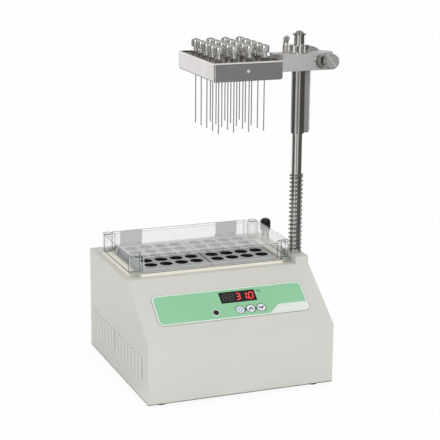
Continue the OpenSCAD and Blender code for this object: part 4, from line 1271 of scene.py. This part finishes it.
@dataclass
class BaseTrim:
    """Painted shade under the lower edge, rear screws, and painted shade at the louvres, round
    the blocks' top edges and in the wells.
    """

    half_width: float = 105.0 * MM
    half_depth: float = 103.5 * MM
    edge_height: float = 0.9 * MM
    edge_width: float = 2.0 * MM
    rear_screw: ScrewKind = ScrewKind(5.6 * MM, 1.3 * MM, 0.8 * MM, SCREW_STEEL)
    rear_screw_x: tuple[int, ...] = (-97, 0, 97)
    rear_screw_rows: tuple[tuple[int, tuple[int, ...]], ...] = ((8, (10, 50, 25)),
                                                                (107, (70, 35, 5)))
    well_diameter: float = 14.5 * MM
    well_pitch: float = 17.6 * MM
    well_depth: float = 45.0 * MM
    well_columns: int = 4
    well_rows: int = 5
    liner_drop: float = 0.15 * MM
    liner_wall: float = 0.12 * MM
    liner_play: float = 0.04 * MM
    liner_short: float = 0.1 * MM
    block_size: Spot = (76.5 * MM, 95.5 * MM)
    block_top: float = 121.0 * MM
    block_offset: float = 38.5 * MM
    line_inset: Spot = (0.1 * MM, 1.5 * MM)
    line_corner: Spot = (0.6 * MM, 0.4 * MM)
    line_span: Spot = (-0.3 * MM, 0.06 * MM)
    bath_centre: Spot = (-4.0 * MM, 28.5 * MM)
    louvre_mouth: Point = (0.3 * MM, 3.4 * MM, 23.4 * MM)
    louvre_rows: tuple[tuple[int, int], ...] = ((0, 8), (8, 7))
    louvre_pitch: float = 11.6 * MM
    louvre_gap: float = 2.0 * MM
    louvre_y: float = -83.0 * MM
    louvre_z: float = 33.5 * MM

    def edge(self) -> bpy.types.Object:
        """Paint shade as a dark ring under the housing's lower edge, for the shade in the gap
        above the bottom plate.
        """
        outer, inner = ([(x * (self.half_width - inset), y * (self.half_depth - inset))
                         for x, y in ((-1, -1), (1, -1), (1, 1), (-1, 1))]
                        for inset in (0.0, self.edge_width))
        ring = ring_plate(outer, inner, IN_PLACE, -self.edge_height, 0.0)
        return new_piece("base_seal", ring, BASE_GAP_SHADE, "base")

    def rear_screws(self) -> bpy.types.Object:
        """Fix the rear panel with six screws."""
        places = [aimed((x * MM, self.half_depth, z * MM), (0, 1, 0), turn)
                  for z, turns in self.rear_screw_rows
                  for x, turn in zip(self.rear_screw_x, turns)]
        return self.rear_screw.screws("rear_screws", places, "base")

    def louvre_shades(self) -> bpy.types.Object:
        """Paint shade as a darker strip in front of each side louvre."""
        tree = ShapeTree("louvre_shades_tree")
        pitch = tree.size("Louvre pitch", self.louvre_pitch)
        shade_strip = tree.box(*(tree.size(f"Mouth {name}", size) for name, size in
                           zip(("thickness", "width", "height"), self.louvre_mouth)))
        step = tree.node("ShaderNodeCombineXYZ", {"Y": pitch}).outputs["Vector"]
        rows = []
        for side in Side:
            for first, count in self.louvre_rows:
                start = (side.value * self.half_width, self.louvre_y + first * self.louvre_pitch
                         + (self.louvre_gap if first else 0.0), self.louvre_z)
                line = tree.node("GeometryNodeMeshLine", {
                    "Count": count, "Start Location": start, "Offset": step}, mode="OFFSET")
                rows.append(tree.spread(line.outputs["Mesh"], shade_strip))
        tree.finish(tree.together(rows), LOUVRE_PAINTED_SHADE)
        return tree.bake("louvre_shades", "base")

    def block_centre(self, side: Side) -> Spot:
        """Return the middle of one block, seen from above."""
        return (self.bath_centre[0] + side.value * self.block_offset, self.bath_centre[1])

    def block_line(self, side: Side) -> bpy.types.Object:
        """Paint shade along one block's top edges as a fine dark ring, for the shade in the gaps
        round the block.

        Args:
            side: Which block.

        Returns:
            A thin ring along the block's top edges.
        """
        name = side.name.lower()
        outer, inner = (
            rounded_rectangle(self.block_size[0] - inset, self.block_size[1] - inset, corner,
                              self.block_centre(side), FINE_STEPS)
            for inset, corner in zip(self.line_inset, self.line_corner))
        low, high = (self.block_top + level for level in self.line_span)
        return new_piece(f"block_line_{name}", ring_plate(outer, inner, IN_PLACE, low, high),
                         BLOCK_GAP_SHADE, f"block_{name}")

    def well_liners(self, side: Side) -> bpy.types.Object:
        """Paint shade in one block's wells with thin near-black cups.

        Args:
            side: Which block.

        Returns:
            One piece with a thin cup in each well.
        """
        name = side.name.lower()
        wide = self.well_diameter / 2 - self.liner_play
        deep = self.well_depth - self.liner_short
        inner, floor = wide - self.liner_wall, self.liner_wall - deep
        cup = lathe(f"liner_cup_{name}", [
            (0.0, -deep), (wide, -deep), (wide, -self.liner_drop), (inner, -self.liner_drop),
            (inner, floor), (0.0, floor)], WELL_SHADE)
        tree = ShapeTree(f"well_liners_{name}_tree")
        pitch = tree.size("Pitch", self.well_pitch)
        columns = tree.size("Columns", self.well_columns)
        rows = tree.size("Rows", self.well_rows)
        spans = [tree.maths("MULTIPLY", tree.maths("SUBTRACT", count, 1.0), pitch)
                 for count in (columns, rows)]
        grid = tree.node("GeometryNodeMeshGrid", {
            "Size X": spans[0], "Size Y": spans[1], "Vertices X": columns, "Vertices Y": rows})
        tree.finish(tree.spread(grid.outputs["Mesh"], tree.shape_of(cup)), WELL_SHADE)
        piece = tree.bake(f"well_liners_{name}", f"block_{name}", Matrix.Translation(
            Vector((*self.block_centre(side), self.block_top))))
        bpy.data.objects.remove(cup)
        return piece

    def build(self) -> list[bpy.types.Object]:
        """Make the base's trim."""
        return [self.edge(), self.rear_screws(), self.louvre_shades(),
                *(self.block_line(side) for side in Side),
                *(self.well_liners(side) for side in Side)]


# ---------------------------------------------------------------- lid


@dataclass
class LidTrim:
    """Screws of the lid's hinge plates, and lines on the lid's edges with painted shade and
    painted highlight.
    """

    centre: Spot = (-4.0 * MM, 28.5 * MM)
    half_width: float = 93.5 * MM
    half_depth: float = 54.5 * MM
    notch_x: float = 12.5 * MM
    notch_y: float = 10.5 * MM
    wall: float = 2.0 * MM
    foot_z: float = 117.7 * MM
    top_z: float = 137.5 * MM
    line: float = 0.75 * MM
    line_sides: int = 8
    post_x: float = 88.1 * MM
    post_y: float = 48.0 * MM
    post_radius: float = 5.4 * MM
    post_top: float = 138.1 * MM
    ring_inset: float = 0.35 * MM
    ring_radius: float = 0.4 * MM
    ring_room: float = 1.0 * MM
    ring_steps: int = 32
    hinge_screw: ScrewKind = ScrewKind(3.4 * MM, 0.9 * MM, 0.5 * MM, SCREW_STEEL)
    screw_turn: int = 15
    back_y: float = 84.2 * MM
    plate_x: Spot = (-62.0 * MM, 54.0 * MM)
    screw_rows_z: Spot = (126.0 * MM, 133.2 * MM)
    reach_x: float = 9.5 * MM

    def corners(self, inset: float) -> list[Spot]:
        """Return the corners of the lid's notched outline.

        Args:
            inset: How far they are drawn inwards.

        Returns:
            The twelve corners in order.
        """
        a, b = self.half_width - inset, self.half_depth - inset
        c, d = self.half_width - self.notch_x - inset, self.half_depth - self.notch_y - inset
        quarter = [(c, -b), (c, -d), (a, -d)]
        ring = quarter + [(x, -y) for x, y in reversed(quarter)]
        ring += [(-x, -y) for x, y in ring]
        return [(self.centre[0] + x, self.centre[1] + y) for x, y in ring]

    def lines(self, name: str, spans: Sequence[tuple[Point, Point]], radius: float,
              finish: Surface) -> bpy.types.Object:
        """Draw straight fine bars as one piece.

        Args:
            name: The piece's name.
            spans: The two ends of each bar.
            radius: The bars' radius.
            finish: Their finish.

        Returns:
            The piece, which rides on the lid.
        """
        mesh = bpy.data.meshes.new(name + "_wires")
        mesh.from_pydata([p for span in spans for p in span],
                         [(2 * k, 2 * k + 1) for k in range(len(spans))], [])
        wires = linked(name + "_wires", mesh)
        tree = ShapeTree(name + "_tree")
        thick = tree.size("Line radius", radius)
        path = tree.node("GeometryNodeMeshToCurve", {"Mesh": tree.shape_of(wires)})
        tree.finish(tree.tube(path.outputs["Curve"], self.line_sides, thick), finish)
        piece = tree.bake(name, "lid")
        bpy.data.objects.remove(wires)
        return piece

    def edges(self) -> list[bpy.types.Object]:
        """Draw the lid's edges as fine lines: dark tinted ones, partly the plastic's own tint and
        partly painted shade, and painted highlight lines just inside.
        """
        half = self.line / 2
        outer, inner = self.corners(half), self.corners(self.wall + half)
        foot, brow, ceiling = self.foot_z + half, self.top_z - half, self.top_z - self.wall
        dark = [((*a, z), (*b, z)) for z in (foot, brow)
                for a, b in zip(outer, outer[1:] + outer[:1])]
        dark += [((*a, foot), (*a, brow)) for a in outer]
        pale = [((*a, ceiling), (*b, ceiling)) for a, b in zip(inner, inner[1:] + inner[:1])]
        pale += [((*a, foot), (*a, ceiling)) for a in inner]
        return [self.lines("lid_edges", dark, half, CLEAR_EDGE_TINT_AND_SHADE),
                self.lines("lid_gleams", pale, half, CLEAR_HIGHLIGHT)]

    def post_rings(self) -> bpy.types.Object:
        """Ring the posts' ends with thin tinted rings, partly the plastic's own tint and partly
        painted shade.
        """
        tree = ShapeTree("post_rings_tree")
        radius = tree.size("Post radius", self.post_radius - self.ring_inset)
        thick = tree.size("Ring radius", self.ring_radius)
        ring = tree.node("GeometryNodeCurvePrimitiveCircle", {
            "Resolution": self.ring_steps, "Radius": radius})
        hoop = tree.tube(ring.outputs["Curve"], self.line_sides, thick, closed=False)
        spots = tree.node("GeometryNodeMeshCube", {"Size": (
            2 * self.post_x, 2 * self.post_y, self.post_top - self.foot_z - self.ring_room)})
        tree.finish(tree.spread(spots.outputs["Mesh"], hoop), CLEAR_EDGE_TINT_AND_SHADE)
        return tree.bake("post_rings", "lid", Matrix.Translation(Vector((
            *self.centre, (self.post_top + self.foot_z) / 2))))

    def hinge_screws(self) -> bpy.types.Object:
        """Put four screws in each hinge plate."""
        spots = [(x + side.value * self.reach_x, self.back_y, z) for x in self.plate_x
                 for side in Side for z in self.screw_rows_z]
        places = [aimed(spot, (0, 1, 0), self.screw_turn * k) for k, spot in enumerate(spots)]
        return self.hinge_screw.screws("hinge_screws", places, "lid")

    def build(self) -> list[bpy.types.Object]:
        """Make the lid's trim."""
        return [self.hinge_screws(), *self.edges(), self.post_rings()]


# ---------------------------------------------------------------- column


@dataclass
class ColumnDress:
    """The buffer spring as a smooth wound wire."""

    axis: Spot = (97.4 * MM, -15.1 * MM)
    foot_z: float = 125.1 * MM
    top_z: float = 212.0 * MM
    outer: float = 15.2 * MM
    wire: float = 1.5 * MM
    wire_sides: int = 12
    turns: int = 19
    close_pitch: float = 2.05 * MM
    steps_per_turn: int = 32

    def height(self, turn: float) -> float:
        """Return the height of the wire's centre, with a closed turn at each end.

        Args:
            turn: Turns wound so far.

        Returns:
            The height in metres.
        """
        rise = self.top_z - self.foot_z - self.wire
        even = (rise - 2 * self.close_pitch) / (self.turns - 2)
        low = self.foot_z + self.wire / 2
        if turn < 1.0:
            return low + turn * self.close_pitch
        if turn > self.turns - 1.0:
            return low + rise - (self.turns - turn) * self.close_pitch
        return low + self.close_pitch + (turn - 1.0) * even

    def spring(self) -> bpy.types.Object:
        """Wind the spring round the rod in place of its coarse solid."""
        data = bpy.data.curves.new("spring_line", "CURVE")
        data.dimensions = "3D"
        spline = data.splines.new("POLY")
        count = self.turns * self.steps_per_turn + 1
        spline.points.add(count - 1)
        radius = (self.outer - self.wire) / 2
        for k in range(count):
            turn = k / self.steps_per_turn
            angle = 2 * math.pi * turn
            spline.points[k].co = (self.axis[0] + radius * math.cos(angle),
                                   self.axis[1] + radius * math.sin(angle),
                                   self.height(turn), 1.0)
        line = linked("spring_line", data)
        tree = ShapeTree("spring_tree")
        wire = tree.size("Wire radius", self.wire / 2)
        sides = tree.size("Wire sides", self.wire_sides)
        smooth = tree.node("GeometryNodeSetShadeSmooth", {
            "Geometry": tree.tube(tree.shape_of(line), sides, wire)})
        tree.finish(smooth.outputs["Geometry"], SPRING_STEEL)
        piece = tree.bake("wound_spring", "column")
        bpy.data.objects.remove(line)
        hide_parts("buffer_spring")
        return piece

    def build(self) -> list[bpy.types.Object]:
        """Make the column's dressed pieces."""
        return [self.spring()]


# ---------------------------------------------------------------- gas head


@dataclass
class HeadTrim:
    """Knurled needle caps, painted highlights on the head's rim and folded corner, its screw and
    the clamp screw's face with a painted highlight in its slot.
    """

    low: Spot = (-5.5 * MM, -24.75 * MM)
    high: Spot = (74.5 * MM, 81.75 * MM)
    foot_z: float = 319.0 * MM
    top_z: float = 339.0 * MM
    sheet: float = 1.2 * MM
    rim_out: float = 0.1 * MM
    rim_span: Spot = (-1.1 * MM, 0.2 * MM)
    fold_foot: float = 0.6 * MM
    fold_room: float = 1.0 * MM
    fold_span: Spot = (-0.05 * MM, 0.1 * MM)
    screw: ScrewKind = ScrewKind(3.6 * MM, 1.2 * MM, 0.7 * MM, BRIGHT_STEEL_AND_HIGHLIGHT)
    screw_turn: int = 20
    front_x: float = 34.9 * MM
    screw_z: float = 329.6 * MM
    rows: str = "abcde"
    columns: str = "1234"
    cap_profile_mm: tuple[Spot, ...] = (
        (0.0, -18.0), (2.25, -18.0), (2.25, -13.7), (2.8, -13.5), (2.5, -9.5), (4.3, -9.2),
        (4.8, -8.8), (4.8, -1.8), (4.5, -1.3), (2.9, -0.7), (1.4, -0.2), (0.0, 0.0))
    ribs: int = 26
    rib_circle: float = 4.72 * MM
    rib_radius: float = 0.24 * MM
    rib_height: float = 6.6 * MM
    rib_middle: float = -5.3 * MM
    rib_sides: int = 6
    clamp_radius: float = 7.5 * MM
    clamp_rise: float = 0.8 * MM
    clamp_slot: float = 1.3 * MM
    clamp_turn: float = -51.0
    clamp_steps: int = 24
    slot_steps: int = 40
    slot_span: Spot = (-0.2 * MM, 0.1 * MM)

    def caps(self) -> list[bpy.types.Object]:
        """Turn the needle caps with a domed top and fine ribs, one for each needle."""
        core = lathe("cap_core", [(r * MM, z * MM) for r, z in self.cap_profile_mm], CAP_STEEL)
        tree = ShapeTree("cap_tree")
        count = tree.size("Ribs", self.ribs)
        radius = tree.size("Rib circle", self.rib_circle)
        thick = tree.size("Rib radius", self.rib_radius)
        tall = tree.size("Rib height", self.rib_height)
        around = tree.node("GeometryNodeMeshCircle", {"Vertices": count, "Radius": radius})
        rib = tree.node("GeometryNodeMeshCylinder", {
            "Vertices": self.rib_sides, "Radius": thick, "Depth": tall})
        sunk = tree.node("GeometryNodeTransform", {
            "Geometry": tree.spread(around.outputs["Mesh"], rib.outputs["Mesh"]),
            "Translation": (0.0, 0.0, self.rib_middle)})
        tree.finish(tree.together((sunk.outputs["Geometry"], tree.shape_of(core))), CAP_STEEL)
        made = []
        for spot in (row + column for row in self.rows for column in self.columns):
            node = f"needle_cap_{spot}"
            low, high = (Vector(corner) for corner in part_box(node))
            middle = (low + high) / 2
            piece = tree.bake(f"cap_{spot}", node,
                              Matrix.Translation((middle.x, middle.y, high.z)))
            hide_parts(node)
            made.append(piece)
        bpy.data.objects.remove(core)
        return made

    def rim(self) -> bpy.types.Object:
        """Paint a highlight along the upper edge of the head's walls."""
        (x0, y0), (x1, y1) = self.low, self.high
        outer, inner = ([(x0 + t, y0 + t), (x1 - t, y0 + t), (x1 - t, y1 - t), (x0 + t, y1 - t)]
                        for t in (-self.rim_out, self.sheet))
        low, high = (self.top_z + level for level in self.rim_span)
        return new_piece("head_rim", ring_plate(outer, inner, IN_PLACE, low, high), BRIGHT_STEEL_AND_HIGHLIGHT,
                         "arm")

    def folds(self) -> list[bpy.types.Object]:
        """Paint highlights on the folded corner at the left of the head's front wall, with a dark
        seam strip between them.
        """
        place = aimed((*self.low, self.foot_z), (0, -1, 0))
        low, high = self.fold_foot, self.top_z - self.foot_z - self.fold_room
        made = []
        # The two bright strips are painted highlights on the corner.
        for name, left, right, finish in (("head_fold", 0.05 * MM, 1.0 * MM, BRIGHT_STEEL_AND_HIGHLIGHT),
                                          ("head_seam", 1.2 * MM, 2.0 * MM, SEAM_DARK),
                                          ("head_lap", 2.0 * MM, 2.7 * MM, BRIGHT_STEEL_AND_HIGHLIGHT)):
            outline = [(left, low), (right, low), (right, high), (left, high)]
            made.append(new_piece(name, extrude_outline(outline, place, *self.fold_span), finish,
                                  "arm"))
        return made

    def clamp_face(self) -> list[bpy.types.Object]:
        """Put the slotted face on the clamp screw, with a painted highlight on the slot's floor.
        """
        low, high = (Vector(corner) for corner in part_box("clamp_screw"))
        place = aimed(((low.x + high.x) / 2, low.y, (low.z + high.z) / 2), (0, -1, 0),
                      self.clamp_turn)
        radius = self.clamp_radius
        gap = math.asin(self.clamp_slot / 2 / radius)
        halves = []
        for start in (0.0, math.pi):
            arc = [start + gap + (math.pi - 2 * gap) * k / self.clamp_steps
                   for k in range(self.clamp_steps + 1)]
            halves.append(extrude_outline([(radius * math.cos(t), radius * math.sin(t))
                                           for t in arc], place, 0.0, self.clamp_rise))
        disc = extrude_outline(circle((0.0, 0.0), radius, self.slot_steps), place,
                               *self.slot_span)
        # The disc under the slot is a painted highlight.
        return [new_piece("clamp_face", joined(halves), CLAMP_FACE, "clamp_screw"),
                new_piece("clamp_slot", disc, BRIGHT_STEEL_AND_HIGHLIGHT, "clamp_screw")]

    def head_screw(self) -> bpy.types.Object:
        """Put the one screw in the head's front wall."""
        place = aimed((self.front_x, self.low[1], self.screw_z), (0, -1, 0), self.screw_turn)
        return self.screw.screws("head_screw", [place], "arm")

    def build(self) -> list[bpy.types.Object]:
        """Make the head's dressed pieces."""
        return [self.head_screw(), self.rim(), *self.folds(), *self.clamp_face(), *self.caps()]


# ---------------------------------------------------------------- assembly


def dress_nodes(nodes: dict[str, bpy.types.Object]) -> None:
    """Give each carried-over solid its finish.

    Args:
        nodes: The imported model's objects by node name.
    """
    for name, thing in nodes.items():
        finish = NODE_FINISH.get(name, TURNED_STEEL)
        material = finish.material()
        if not thing.material_slots:
            thing.data.materials.append(material)
        for spot in thing.material_slots:
            spot.material = material
        LOG.info("dressed %s with %s", name, finish.name)


def main() -> None:
    """Build the dressed evaporator and its studio."""
    logging.basicConfig(level=logging.INFO, format="%(name)s: %(message)s")
    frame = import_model()
    studio = Studio()
    studio.camera()
    studio.floor()
    studio.light()
    dress_nodes(frame["nodes"])
    builders: list[tuple[str, Callable[[], list[bpy.types.Object]]]] = [
        ("control panel", ControlPanel().build),
        ("base trim", BaseTrim().build),
        ("lid trim", LidTrim().build),
        ("column", ColumnDress().build),
        ("gas head", HeadTrim().build),
    ]
    for name, build in builders:
        for piece in build():
            LOG.info("%s: %s has %d faces", name, piece.name, len(piece.data.polygons))


if __name__ == "__main__":
    main()
